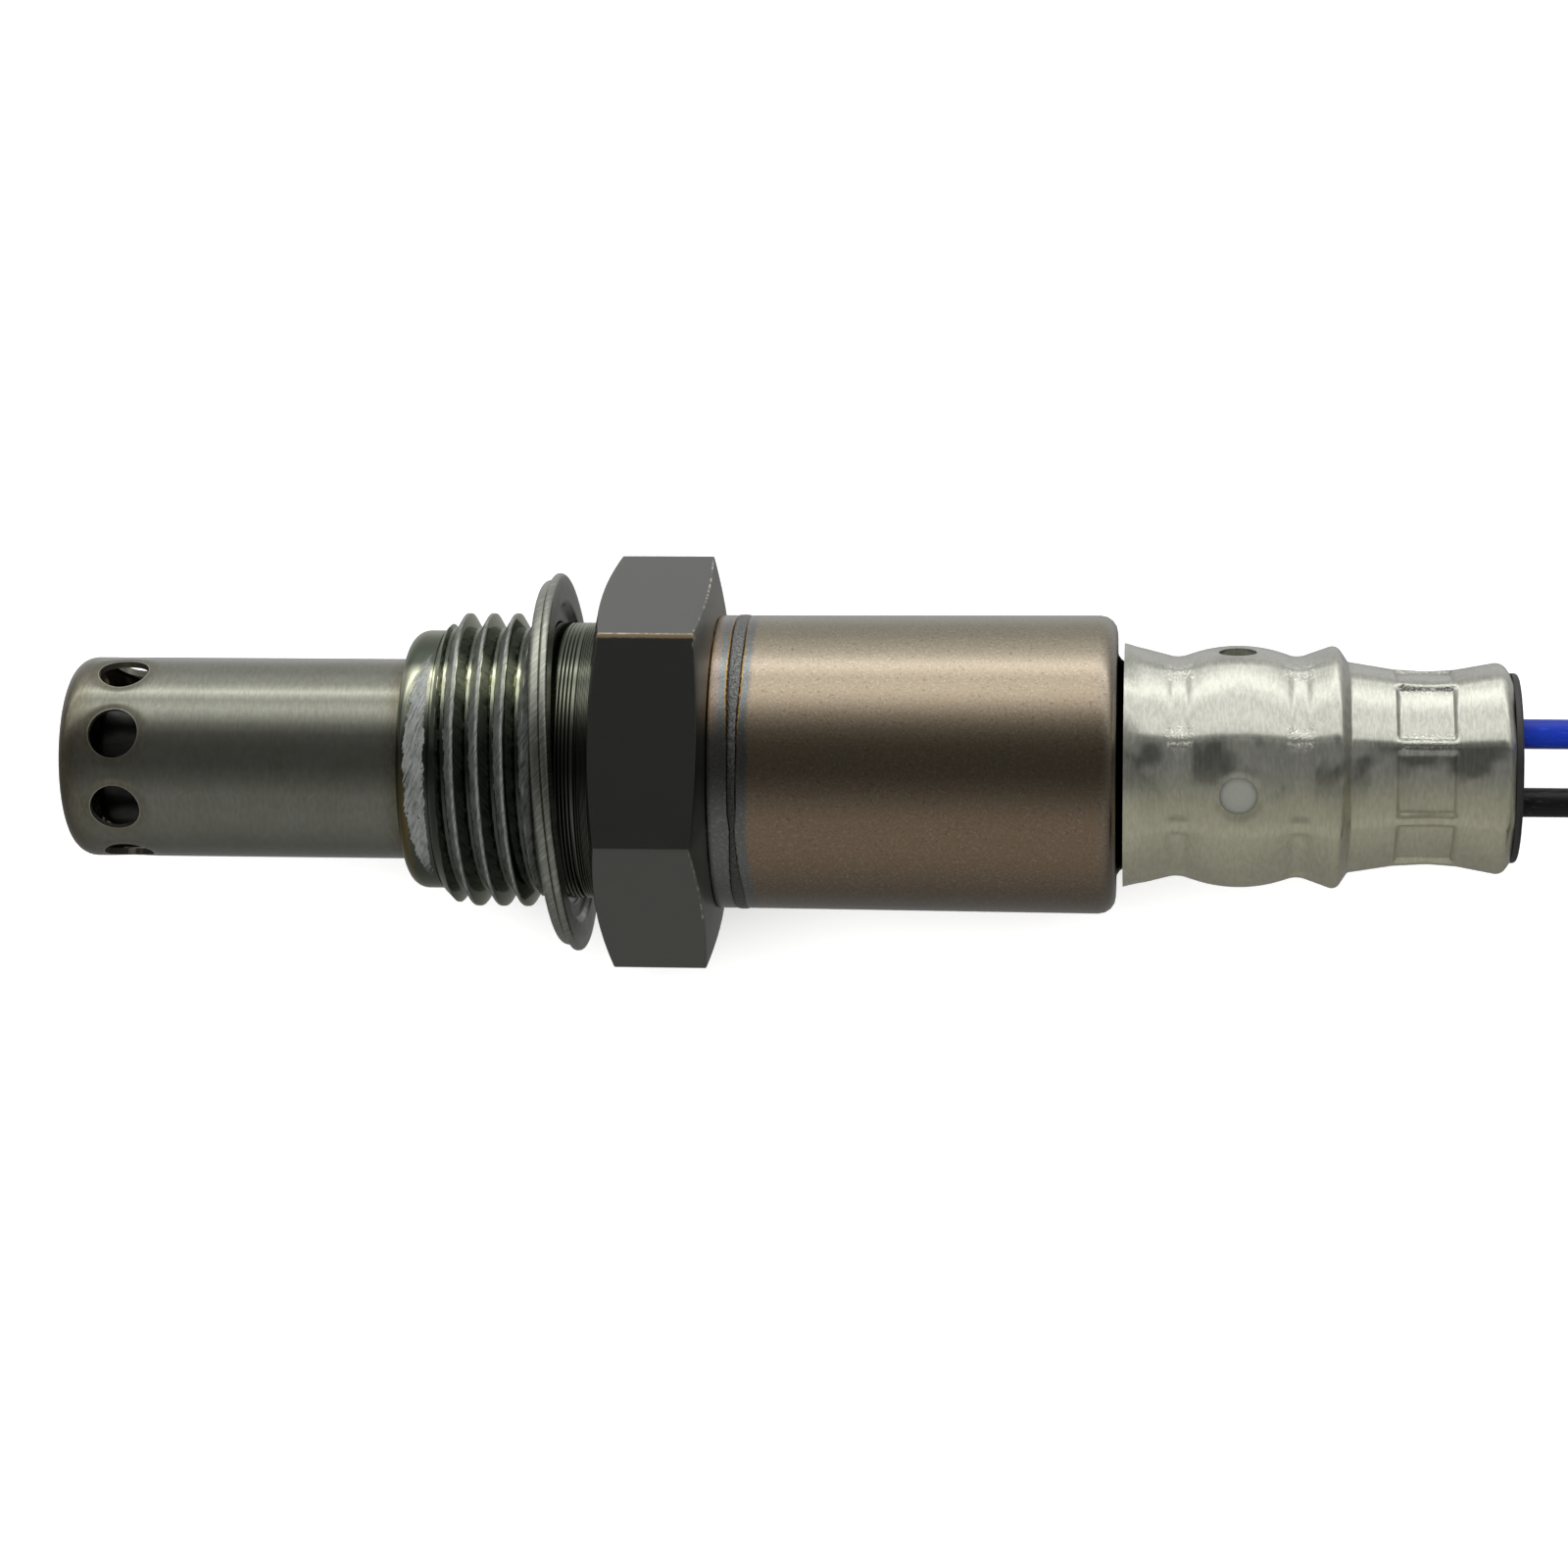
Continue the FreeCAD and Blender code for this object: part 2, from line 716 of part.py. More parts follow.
def make_sensing_element():
    """Flat ceramic strip with a heater inside, from the gas to the contacts."""
    body = new_body("sensing_element")
    sketch = new_sketch(body, "section", "YZ_Plane")
    draw_outline(sketch, box_corners(size.element_width, size.element_thickness))
    strip = pad(body, "strip", sketch, size.element_length)
    chamfer = body.newObject("PartDesign::Chamfer", "sensing_element_tip")
    front = [
        f"Edge{number}"
        for number, edge in enumerate(strip.Shape.Edges, 1)
        if max(vertex.Point.x for vertex in edge.Vertexes) < size.element_chamfer.value / 2
    ]
    chamfer.Base = (strip, front)
    chamfer.setExpression("Size", size.element_chamfer.text)
    body.Tip = chamfer
    place(body, shell_front - size.element_front_reach)


def make_disc_spring():
    """Cone-shaped spring washer between the shell and the rear insulator."""
    outer = size.disc_spring_outer_diameter / 2
    inner = size.disc_spring_inner_diameter / 2
    turned_piece("disc_spring", spigot_rear + size.slide_fit, [
        (0, outer),
        (size.disc_spring_thickness, outer),
        (size.disc_spring_height, inner),
        (size.disc_spring_height - size.disc_spring_thickness, inner),
    ])


def make_rear_insulator():
    """Ceramic holder of the contact springs, pressed against the inside of the main cover's shoulder."""
    rear = insulator_rear - insulator_front
    outer = size.rear_insulator_diameter / 2
    body = turned_piece("rear_insulator", insulator_front, [
        (0, 0),
        (0, outer, size.rear_insulator_front_radius),
        (rear - size.rear_insulator_step_length, outer),
        (rear - size.rear_insulator_step_length, size.rear_insulator_step_diameter / 2),
        (rear, size.rear_insulator_step_diameter / 2, size.rear_insulator_step_radius),
        (rear, 0),
    ])
    sketch = new_sketch(body, "pocket_outline", "YZ_Plane")
    pocket_size = size.rear_insulator_pocket_width, size.rear_insulator_pocket_height
    draw_outline(sketch, box_corners(*pocket_size, size.rear_insulator_pocket_radius))
    pocket(body, "pocket", sketch, size.rear_insulator_pocket_depth)
    sketch = new_sketch(body, "channels_outline", "YZ_Plane")
    for side, up in WIRE_CORNERS.values():
        draw_circle(sketch, size.wire_pitch / 2 * side, size.wire_pitch / 2 * up, size.wire_channel_diameter)
    pocket(body, "channels", sketch)


def make_contact_spring(number, side, up):
    """Bowed strip that presses on one pad of the element and runs back to its crimp sleeve."""
    body = new_body(f"contact_spring_{number}")
    low = size.element_thickness / 2 + size.slide_fit
    tail = size.wire_pitch / 2 - size.spring_strip_thickness / 2
    thickness = size.spring_strip_thickness
    rise = size.spring_bow_position + size.spring_bow_length
    bend = size.spring_bend_radius
    sketch = new_sketch(body, "strip_outline", "XZ_Plane")
    draw_outline(sketch, [
        (0, low + size.spring_tip_lift),
        (size.spring_bow_position, low, bend + thickness),
        (rise, tail, bend),
        (size.spring_length, tail),
        (size.spring_length, tail + thickness),
        (rise, tail + thickness, bend + thickness),
        (size.spring_bow_position, low + thickness, bend),
        (0, low + size.spring_tip_lift + thickness),
    ])
    pad(body, "strip", sketch, size.spring_strip_width, both_ways=True)
    if up < 0:
        body.Placement = FreeCAD.Placement(FreeCAD.Vector(), FreeCAD.Rotation(FreeCAD.Vector(1, 0, 0), 180))
    place(body, insulator_front + size.spring_front_setback, size.spring_strip_offset * side)


def make_crimp_sleeve(number, side, up):
    """Tube crimped over a spring's tail and a lead's end."""
    outer = size.crimp_sleeve_diameter / 2
    inner = size.lead_wire_diameter / 2 + size.slide_fit
    body = turned_piece(f"crimp_sleeve_{number}", crimp_sleeve_front, [
        (0, inner),
        (0, outer),
        (size.crimp_sleeve_length, outer),
        (size.crimp_sleeve_length, inner),
    ])
    place(body, crimp_sleeve_front, size.wire_pitch / 2 * side, size.wire_pitch / 2 * up)


def make_main_cover():
    """Drawn steel barrel welded over the shell's spigot, with a shoulder and a narrow pierced neck."""
    front = size.barrel_front_diameter / 2
    rear = size.barrel_rear_diameter / 2
    neck = size.barrel_neck_diameter / 2
    inside = size.barrel_length - size.barrel_wall
    total = size.barrel_length + size.barrel_neck_length
    bead = front + size.weld_height
    body = turned_piece("main_cover", barrel_front, [
        (0, front - size.barrel_wall),
        (0, front),
        (size.weld_position - size.weld_width / 2, front),
        (size.weld_position - size.weld_width / 4, bead),
        (size.weld_position + size.weld_width / 4, bead),
        (size.weld_position + size.weld_width / 2, front),
        (size.barrel_length, rear, size.barrel_corner_radius),
        (size.barrel_length, neck),
        (total, neck),
        (total, neck - size.barrel_neck_wall),
        (inside, neck - size.barrel_neck_wall),
        (inside, rear - size.barrel_wall, size.barrel_corner_radius - size.barrel_wall),
    ])
    window = size.barrel_length + size.vent_cover_gap + size.vent_hole_position
    radial_holes(body, "window", window, size.barrel_window_diameter, size.vent_hole_count, rear)
    roll(body, size.vent_hole_angle + 180 / size.vent_hole_count)


def make_vent_filter():
    """Porous white sleeve round the neck, bulging under the vent holes: it lets air in, not water."""
    inner = size.barrel_neck_diameter / 2 + size.slide_fit
    outer = inner + size.filter_thickness
    turned_piece("vent_filter", barrel_rear + size.filter_front_setback, [
        (0, inner),
        (0, outer),
        (size.filter_shoulder_length, outer),
        (size.filter_length / 2, size.filter_bulge_diameter / 2, size.filter_bulge_radius),
        (size.filter_length - size.filter_shoulder_length, outer),
        (size.filter_length, outer),
        (size.filter_length, inner),
    ])


# On the inside of the vent cover's wall the steep corners lie a share of the wall further forward, and
# the roundings of its outer edges are smaller, and of its valleys larger, by a share of the wall.
STEP_LEAN = 0.55
RIM_LEAN = 0.6
EDGE_SHRINK = 0.8
VALLEY_GROWTH = 0.5
# A waist's rounding lifts its bottom by this share of its radius.
WAIST_RISE = 0.05


def vent_cover_line(shift):
    """The vent cover's outline from the front edge to the step, moved inwards by a shift."""
    lean = shift * STEP_LEAN
    shoulder_radius = size.vent_shoulder_radius - shift * EDGE_SHRINK
    step_radius = size.vent_step_radius + shift * VALLEY_GROWTH
    first_radius = size.vent_first_waist_radius + shift
    second_radius = size.vent_second_waist_radius + shift
    return [
        (0, size.vent_front_diameter / 2 - shift),
        (size.vent_first_waist_position, size.vent_first_waist_diameter / 2 - shift, first_radius),
        (size.vent_bulge_position, size.vent_bulge_diameter / 2 - shift, size.vent_bulge_radius - shift),
        (size.vent_second_waist_position, size.vent_second_waist_diameter / 2 - shift, second_radius),
        (size.vent_shoulder_position - lean, size.vent_shoulder_diameter / 2 - shift, shoulder_radius),
        (size.vent_step_position - lean, size.vent_step_diameter / 2 - shift, step_radius),
    ]


def grip_line(shift):
    """The vent cover's outline where it grips the grommet, moved inwards by a shift."""
    rear = size.vent_cover_length
    front_x = rear - size.vent_grip_front_position
    middle_x = rear - size.vent_grip_middle_position
    rear_x = rear - size.vent_grip_rear_position
    rim_x = rear - size.vent_rim_position - shift * RIM_LEAN
    return [
        (front_x, size.vent_grip_front_diameter / 2 - shift),
        (middle_x, size.vent_grip_middle_diameter / 2 - shift, size.vent_grip_middle_radius + shift),
        (rear_x, size.vent_grip_rear_diameter / 2 - shift, size.vent_grip_rear_radius + shift),
        (rim_x, size.vent_rim_diameter / 2 - shift, size.vent_rim_radius - shift * EDGE_SHRINK),
    ]


def crimp_ring(body, name, start, width, floor, span):
    """Dents pressed into the wall by the jaws of a crimping tool, spread evenly round it."""
    before = body.Shape.Volume
    sketch = new_sketch(body, f"{name}_outline", "XZ_Plane")
    reach = size.vent_bulge_diameter / 2
    draw_outline(sketch, [(start, floor), (start + width, floor), (start + width, reach), (start, reach)])
    groove = body.newObject("PartDesign::Groove", f"{body.Label}_{name}")
    groove.Profile = sketch
    groove.ReferenceAxis = (sketch, ["H_Axis"])
    groove.Midplane = True
    groove.setExpression("Angle", span.text)
    doc.recompute()
    if body.Shape.Volume >= before:
        raise RuntimeError(f"{name} cuts nothing")
    ring_of(body, groove, size.crimp_count)


def make_vent_cover():
    """Rolled steel sleeve with two waists round the breather and a crimped grip on the grommet."""
    shift = size.vent_cover_wall
    end = size.vent_end_diameter / 2
    outside = vent_cover_line(length(0)) + grip_line(length(0)) + [(size.vent_cover_length, end)]
    inside = vent_cover_line(shift) + grip_line(shift) + [(size.vent_cover_length, end - shift)]
    body = turned_piece("vent_cover", vent_front, outside + inside[::-1])
    hole_turn = size.vent_hole_angle - size.crimp_angle
    sketch = new_sketch(body, "vent_hole_outline", "XY_Plane")
    draw_circle(sketch, size.vent_hole_position, 0, size.vent_hole_diameter)
    # the holes are turned against the crimps, which lie in the body's own upright plane
    hole_roll = FreeCAD.Rotation(FreeCAD.Vector(-1, 0, 0), hole_turn.value)
    sketch.AttachmentOffset = FreeCAD.Placement(FreeCAD.Vector(), hole_roll)
    ring_of(body, pocket(body, "vent_hole", sketch, size.vent_bulge_diameter), size.vent_hole_count)
    width, span = size.waist_crimp_width, size.waist_crimp_span
    line = vent_cover_line(length(0))
    for name, (waist_x, waist, rounding) in (("first_crimp", line[1]), ("second_crimp", line[3])):
        floor = waist + rounding * WAIST_RISE - size.waist_crimp_depth
        crimp_ring(body, name, waist_x - width / 2, width, floor, span)
    floor = size.vent_grip_middle_diameter / 2 - size.grip_crimp_depth
    grip_crimp_front = size.vent_cover_length - size.grip_crimp_start
    crimp_ring(body, "grip_crimp", grip_crimp_front, size.grip_crimp_length, floor, size.grip_crimp_span)
    roll(body, size.crimp_angle)


def make_grommet():
    """Black rubber plug with a bore for each lead, squeezed in the end of the vent cover."""
    front = neck_rear + size.slide_fit
    local = front - vent_front
    shift = size.vent_cover_wall + size.slide_fit
    # in front of its grip the cover narrows evenly from the step, and the grommet with it
    step_x, step_radius = vent_cover_line(size.vent_cover_wall)[-1][:2]
    grip_x, grip_radius = grip_line(size.vent_cover_wall)[0]
    slope = (step_radius - grip_radius) / (grip_x - step_x)
    end = size.vent_end_diameter / 2 - shift
    rim = size.grommet_rim_diameter / 2
    rear = grommet_rear - front
    lip = vent_rear - front + size.slide_fit
    grip = [(corner[0] - local,) + tuple(corner[1:]) for corner in grip_line(shift)]
    body = turned_piece("grommet", front, [
        (0, 0),
        (0, grip_radius - size.slide_fit + (grip_x - local) * slope),
    ] + grip + [
        (vent_rear - front, end),
        (lip, end),
        (lip, rim),
        (rear, rim, size.grommet_rim_radius),
        (rear, 0),
    ])
    sketch = new_sketch(body, "bores_outline", "YZ_Plane")
    for side, up in WIRE_CORNERS.values():
        bore = size.lead_wire_diameter + size.slide_fit * 2
        draw_circle(sketch, size.wire_pitch / 2 * side, size.wire_pitch / 2 * up, bore)
    pocket(body, "bores", sketch)


def rounded_path(points, label, first=None, last=None):
    """A wire of straight runs joined by tangent arcs, each as large as its two runs allow."""
    points = [FreeCAD.Vector(*point) for point in points]
    start = FreeCAD.Vector(*first) if first else points[0]
    stop = FreeCAD.Vector(*last) if last else points[-1]
    edges = []
    at = start
    radii = []
    for before, corner, after in zip(points, points[1:], points[2:]):
        back = (before - corner).normalize()
        ahead = (after - corner).normalize()
        half_turn = (math.pi - back.getAngle(ahead)) / 2
        reach = ARC_SHARE * min((before - corner).Length, (after - corner).Length)
        radius = reach / math.tan(half_turn)
        centre = corner + (back + ahead).normalize() * (radius / math.cos(half_turn))
        middle = centre + (corner - centre).normalize() * radius
        entry = corner + back * reach
        leave = corner + ahead * reach
        edges.append(Part.LineSegment(at, entry).toShape())
        edges.append(Part.Arc(entry, middle, leave).toShape())
        radii.append(radius)
        at = leave
    edges.append(Part.LineSegment(at, stop).toShape())
    wire = Part.Wire(edges)
    print(label, "length", round(wire.Length, 2), "radii", [round(radius, 1) for radius in radii])
    return wire


def make_cord(label, wire, diameter):
    """A plain tube of one diameter along a path, its volume compared with section times length."""
    start = wire.Edges[0].Vertexes[0].Point
    heading = wire.Edges[0].tangentAt(wire.Edges[0].FirstParameter)
    section = Part.Wire(Part.Circle(start, heading, diameter / 2).toShape())
    tube = wire.makePipeShell([section], True, True)
    wanted = math.pi * (diameter / 2) ** 2 * wire.Length
    if abs(tube.Volume - wanted) > wanted * VOLUME_TOLERANCE:
        raise RuntimeError(f"{label} has the wrong volume")
    feature = doc.addObject("Part::Feature", label)
    feature.Label = label
    feature.Shape = tube


def make_lead(name, side, up):
    """One lead: from its crimp sleeve through the grommet, free for a short stretch, then into the sleeve."""
    pitch = size.wire_pitch.value / 2
    bundle = size.sleeve_lead_pitch.value / 2
    bundle_z = floor_z.value + size.sleeve_diameter.value / 2
    points = [
        (grommet_rear.value, pitch * side, pitch * up),
        (LEAD_DROP_X, pitch * side, pitch * up),
        (LEAD_LAND_X, bundle * side, bundle_z + bundle * up),
        (BUNDLE_MOUTH_X, bundle * side, bundle_z + bundle * up),
    ]
    inside = (crimp_sleeve_rear.value - size.crimp_overlap.value, pitch * side, pitch * up)
    wire = rounded_path(points, f"lead_{name}", first=inside)
    make_cord(f"lead_{name}", wire, size.lead_wire_diameter.value)


plug_front = length(SLEEVE_ROUTE[-1][0]) - size.plug_boss_length - size.plug_cap_length - size.plug_length
plug_rear = plug_front + size.plug_length
plug_z = floor_z + size.plug_height / 2
seal_front = plug_rear - size.plug_seal_seat_depth
seal_rear = seal_front + size.wire_seal_length


def make_harness_sleeve():
    """Braided sleeve over the four leads, from the free stretch to the plug."""
    level = floor_z.value + size.sleeve_diameter.value / 2
    rise = plug_z.value - level
    points = [(across, side, level + rise * raised) for across, side, raised in SLEEVE_ROUTE]
    inside = (seal_rear.value + size.slide_fit.value, PLUG_Y, plug_z.value)
    wire = rounded_path(points, "harness_sleeve", last=inside)
    make_cord("harness_sleeve", wire, size.sleeve_diameter.value)


PIN_CORNERS = [(-1, -1), (1, -1), (1, 1), (-1, 1)]


def draw_pin_circles(sketch, diameter):
    for side, up in PIN_CORNERS:
        draw_circle(sketch, size.plug_pin_pitch_across / 2 * side, size.plug_pin_pitch_up / 2 * up, diameter)


def make_plug_housing():
    """Moulded plug: an open mouth round the pins, a floor, a seat for the wire seal, a latch and rails."""
    body = new_body("plug_housing")
    sketch = new_sketch(body, "block_outline", "YZ_Plane")
    draw_outline(sketch, box_corners(size.plug_width, size.plug_height, size.plug_corner_radius))
    pad(body, "block", sketch, size.plug_length)
    inner_width = size.plug_width - size.plug_wall * 2
    inner_height = size.plug_height - size.plug_wall * 2
    inner_radius = size.plug_corner_radius / 2
    sketch = new_sketch(body, "mouth_outline", "YZ_Plane")
    draw_outline(sketch, box_corners(inner_width, inner_height, inner_radius))
    pocket(body, "mouth", sketch, size.plug_mouth_depth)
    sketch = new_sketch(body, "seal_seat_outline", "YZ_Plane", size.plug_length - size.plug_seal_seat_depth)
    draw_outline(sketch, box_corners(inner_width, inner_height, inner_radius))
    pocket(body, "seal_seat", sketch, size.plug_seal_seat_depth)
    sketch = new_sketch(body, "pin_holes_outline", "YZ_Plane", size.plug_mouth_depth)
    draw_pin_circles(sketch, size.pin_diameter + size.slide_fit * 2)
    pocket(body, "pin_holes", sketch, size.plug_floor)
    sketch = new_sketch(body, "barrel_holes_outline", "YZ_Plane", size.plug_mouth_depth + size.plug_floor)
    draw_pin_circles(sketch, size.pin_barrel_diameter + size.slide_fit * 2)
    pocket(body, "barrel_holes", sketch, size.plug_length - size.plug_mouth_depth - size.plug_floor)
    top = size.plug_height / 2
    latch_rear = size.plug_latch_setback + size.plug_latch_length
    latch_top = top + size.plug_latch_height
    sketch = new_sketch(body, "latch_outline", "XZ_Plane")
    draw_outline(sketch, [
        (size.plug_latch_setback, top - size.plug_wall / 2),
        (latch_rear, top - size.plug_wall / 2),
        (latch_rear, latch_top, size.plug_latch_edge_radius),
        (size.plug_latch_setback + size.plug_latch_ramp_length, latch_top, size.plug_latch_ramp_radius),
        (size.plug_latch_setback, top),
    ])
    pad(body, "latch", sketch, size.plug_latch_width, both_ways=True)
    for name, side in (("left", -1), ("right", 1)):
        sketch = new_sketch(body, f"{name}_rail_outline", "YZ_Plane")
        foot = size.plug_wall / 2
        rail = box_corners(size.plug_rail_width, size.plug_rail_height + foot, None,
                           size.plug_rail_spread / 2 * side, top + (size.plug_rail_height - foot) / 2)
        draw_outline(sketch, rail)
        pad(body, f"{name}_rail", sketch, size.plug_rail_length)
    place(body, plug_front, PLUG_Y, plug_z)


def make_pin_keeper():
    """Plate at the bottom of the mouth that keeps the pins upright."""
    body = new_body("pin_keeper")
    sketch = new_sketch(body, "plate_outline", "YZ_Plane")
    width = size.plug_width - size.plug_wall * 2 - size.loose_fit * 2
    height = size.plug_height - size.plug_wall * 2 - size.loose_fit * 2
    draw_outline(sketch, box_corners(width, height, size.plug_corner_radius / 2))
    pad(body, "plate", sketch, size.pin_keeper_thickness)
    sketch = new_sketch(body, "holes_outline", "YZ_Plane")
    draw_pin_circles(sketch, size.pin_diameter + size.slide_fit * 2)
    pocket(body, "holes", sketch)
    floor_front = plug_front + size.plug_mouth_depth
    place(body, floor_front - size.pin_keeper_thickness - size.slide_fit, PLUG_Y, plug_z)


def make_plug_pin(number, side, up):
    """Turned pin with a crimp barrel behind the floor of the plug."""
    thin = size.pin_diameter / 2
    thick = size.pin_barrel_diameter / 2
    shoulder_x = size.plug_mouth_depth + size.plug_floor - size.pin_recess + size.slide_fit
    body = turned_piece(f"plug_pin_{number}", plug_front + size.pin_recess, [
        (0, 0),
        (0, thin, size.pin_tip_radius),
        (shoulder_x, thin),
        (shoulder_x, thick),
        (shoulder_x + size.pin_barrel_length, thick),
        (shoulder_x + size.pin_barrel_length, 0),
    ])
    across = size.plug_pin_pitch_across / 2 * side
    place(body, plug_front + size.pin_recess, PLUG_Y + across, plug_z + size.plug_pin_pitch_up / 2 * up)


def make_wire_seal():
    """Rubber block that seals the rear of the plug round the wires."""
    body = new_body("wire_seal")
    sketch = new_sketch(body, "block_outline", "YZ_Plane")
    width = size.plug_width - size.plug_wall * 2 - size.slide_fit * 2
    height = size.plug_height - size.plug_wall * 2 - size.slide_fit * 2
    draw_outline(sketch, box_corners(width, height, size.plug_corner_radius / 2))
    pad(body, "block", sketch, size.wire_seal_length)
    place(body, seal_front + size.slide_fit, PLUG_Y, plug_z)


def make_plug_cap():
    """Cap over the rear of the plug, with a boss that the sleeve enters."""
    body = new_body("plug_cap")
    sketch = new_sketch(body, "plate_outline", "YZ_Plane")
    draw_outline(sketch, box_corners(size.plug_width, size.plug_height, size.plug_corner_radius))
    pad(body, "plate", sketch, size.plug_cap_length)
    sketch = new_sketch(body, "boss_outline", "YZ_Plane")
    draw_circle(sketch, 0, 0, size.plug_boss_diameter)
    pad(body, "boss", sketch, size.plug_cap_length + size.plug_boss_length)
    sketch = new_sketch(body, "hollow_outline", "YZ_Plane")
    width = size.plug_width - size.plug_cap_wall * 2
    height = size.plug_height - size.plug_cap_wall * 2
    draw_outline(sketch, box_corners(width, height, size.plug_corner_radius / 2))
    pocket(body, "hollow", sketch, size.plug_cap_length - size.plug_cap_wall)
    sketch = new_sketch(body, "entry_outline", "YZ_Plane")
    draw_circle(sketch, 0, 0, size.sleeve_diameter + size.slide_fit * 2)
    pocket(body, "entry", sketch)
    place(body, plug_rear + size.slide_fit, PLUG_Y, plug_z)


make_outer_protection_cover()
make_inner_protection_cover()
make_sensing_element()
make_threaded_shell()
make_gasket_ring()
make_front_insulator()
make_talc_seal()
make_spacer_sleeve()
make_clamp_ring()
make_disc_spring()
make_rear_insulator()
for number, (name, (side, up)) in enumerate(WIRE_CORNERS.items(), 1):
    make_contact_spring(number, side, up)
    make_crimp_sleeve(number, side, up)
    make_lead(name, side, up)
make_main_cover()
make_vent_filter()
make_vent_cover()
make_grommet()
make_harness_sleeve()
make_plug_housing()
make_pin_keeper()
for number, (side, up) in enumerate(PIN_CORNERS, 1):
    make_plug_pin(number, side, up)
make_wire_seal()
make_plug_cap()

doc.recompute()
for item in doc.Objects:
    if "Invalid" in item.State or "Error" in item.State:
        raise RuntimeError(f"{item.Name} failed: {item.State}")

pieces = [item for item in doc.Objects if item.TypeId in ("PartDesign::Body", "Part::Feature")]
for piece in pieces:
    if piece.Shape.isNull() or not piece.Shape.isValid():
        raise RuntimeError(f"{piece.Label} has no valid shape")

os.makedirs("parts", exist_ok=True)
for piece in pieces:
    piece.Shape.exportStep(f"parts/{piece.Label}.step")
print(len(pieces), "pieces written")
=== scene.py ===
import math

import bpy
import numpy as np
from mathutils import Matrix, Vector


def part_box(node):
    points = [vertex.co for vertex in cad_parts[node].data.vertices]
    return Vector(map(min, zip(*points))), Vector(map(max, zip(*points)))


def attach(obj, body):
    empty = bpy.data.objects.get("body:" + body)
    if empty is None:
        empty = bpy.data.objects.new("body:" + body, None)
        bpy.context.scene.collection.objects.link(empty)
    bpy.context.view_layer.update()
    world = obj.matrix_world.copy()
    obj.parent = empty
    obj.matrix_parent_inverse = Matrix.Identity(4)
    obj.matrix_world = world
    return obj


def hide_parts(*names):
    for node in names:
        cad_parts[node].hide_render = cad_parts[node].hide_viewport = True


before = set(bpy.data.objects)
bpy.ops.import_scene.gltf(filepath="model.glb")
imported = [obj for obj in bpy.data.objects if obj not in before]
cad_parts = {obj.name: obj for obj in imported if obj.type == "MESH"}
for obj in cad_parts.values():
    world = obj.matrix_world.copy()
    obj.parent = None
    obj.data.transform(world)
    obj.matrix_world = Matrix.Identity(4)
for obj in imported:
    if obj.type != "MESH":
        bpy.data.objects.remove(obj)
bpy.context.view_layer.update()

# Camera.
# It hangs 251 mm above the sensor and looks down, a little towards the tip. The sensor lies along
# the picture, tip to the left, and runs down to the right by half a degree.
MM = 0.001
LENS = 94.5
SENSOR_WIDTH = 36.0
CAMERA_PLACE = Vector((36.89, -1.35, 250.8)) * MM
LOOK_LEAN = 5.1
ROLL = 0.52

camera = bpy.data.objects.new("camera", bpy.data.cameras.new("camera"))
bpy.context.scene.collection.objects.link(camera)
bpy.context.scene.camera = camera
camera.data.lens = LENS
camera.data.sensor_width = SENSOR_WIDTH
camera.data.clip_start = 0.01
camera.data.clip_end = 50
lean = Matrix.Rotation(math.radians(LOOK_LEAN), 4, "Y")
roll = Matrix.Rotation(math.radians(ROLL), 4, "Z")
camera.matrix_world = Matrix.Translation(CAMERA_PLACE) @ lean @ roll


# Studio.
# A wide pale floor, a soft lamp overhead that lights it, and the room's own walls, which the steel
# mirrors: a bright pair of long lamps low on the far side, a weak one on the near side, dark above.
class Field:
    """A number at each point of a surface, as one socket. Sums and products of fields add Math nodes."""

    def __init__(self, nodes, socket):
        self.nodes = nodes
        self.socket = socket

    def __add__(self, other):
        return self.nodes.math("ADD", self, other)

    def __sub__(self, other):
        return self.nodes.math("SUBTRACT", self, other)

    def __mul__(self, other):
        return self.nodes.math("MULTIPLY", self, other)

    def __truediv__(self, other):
        return self.nodes.math("DIVIDE", self, other)

    def __radd__(self, other):
        return self.nodes.math("ADD", other, self)

    def __rsub__(self, other):
        return self.nodes.math("SUBTRACT", other, self)

    def __rmul__(self, other):
        return self.nodes.math("MULTIPLY", other, self)

    def __abs__(self):
        return self.nodes.math("ABSOLUTE", self)

    def __mod__(self, other):
        return self.nodes.math("FLOORED_MODULO", self, other)

    def clamped(self):
        return self.nodes.node("ShaderNodeClamp", {}, {"Value": self})


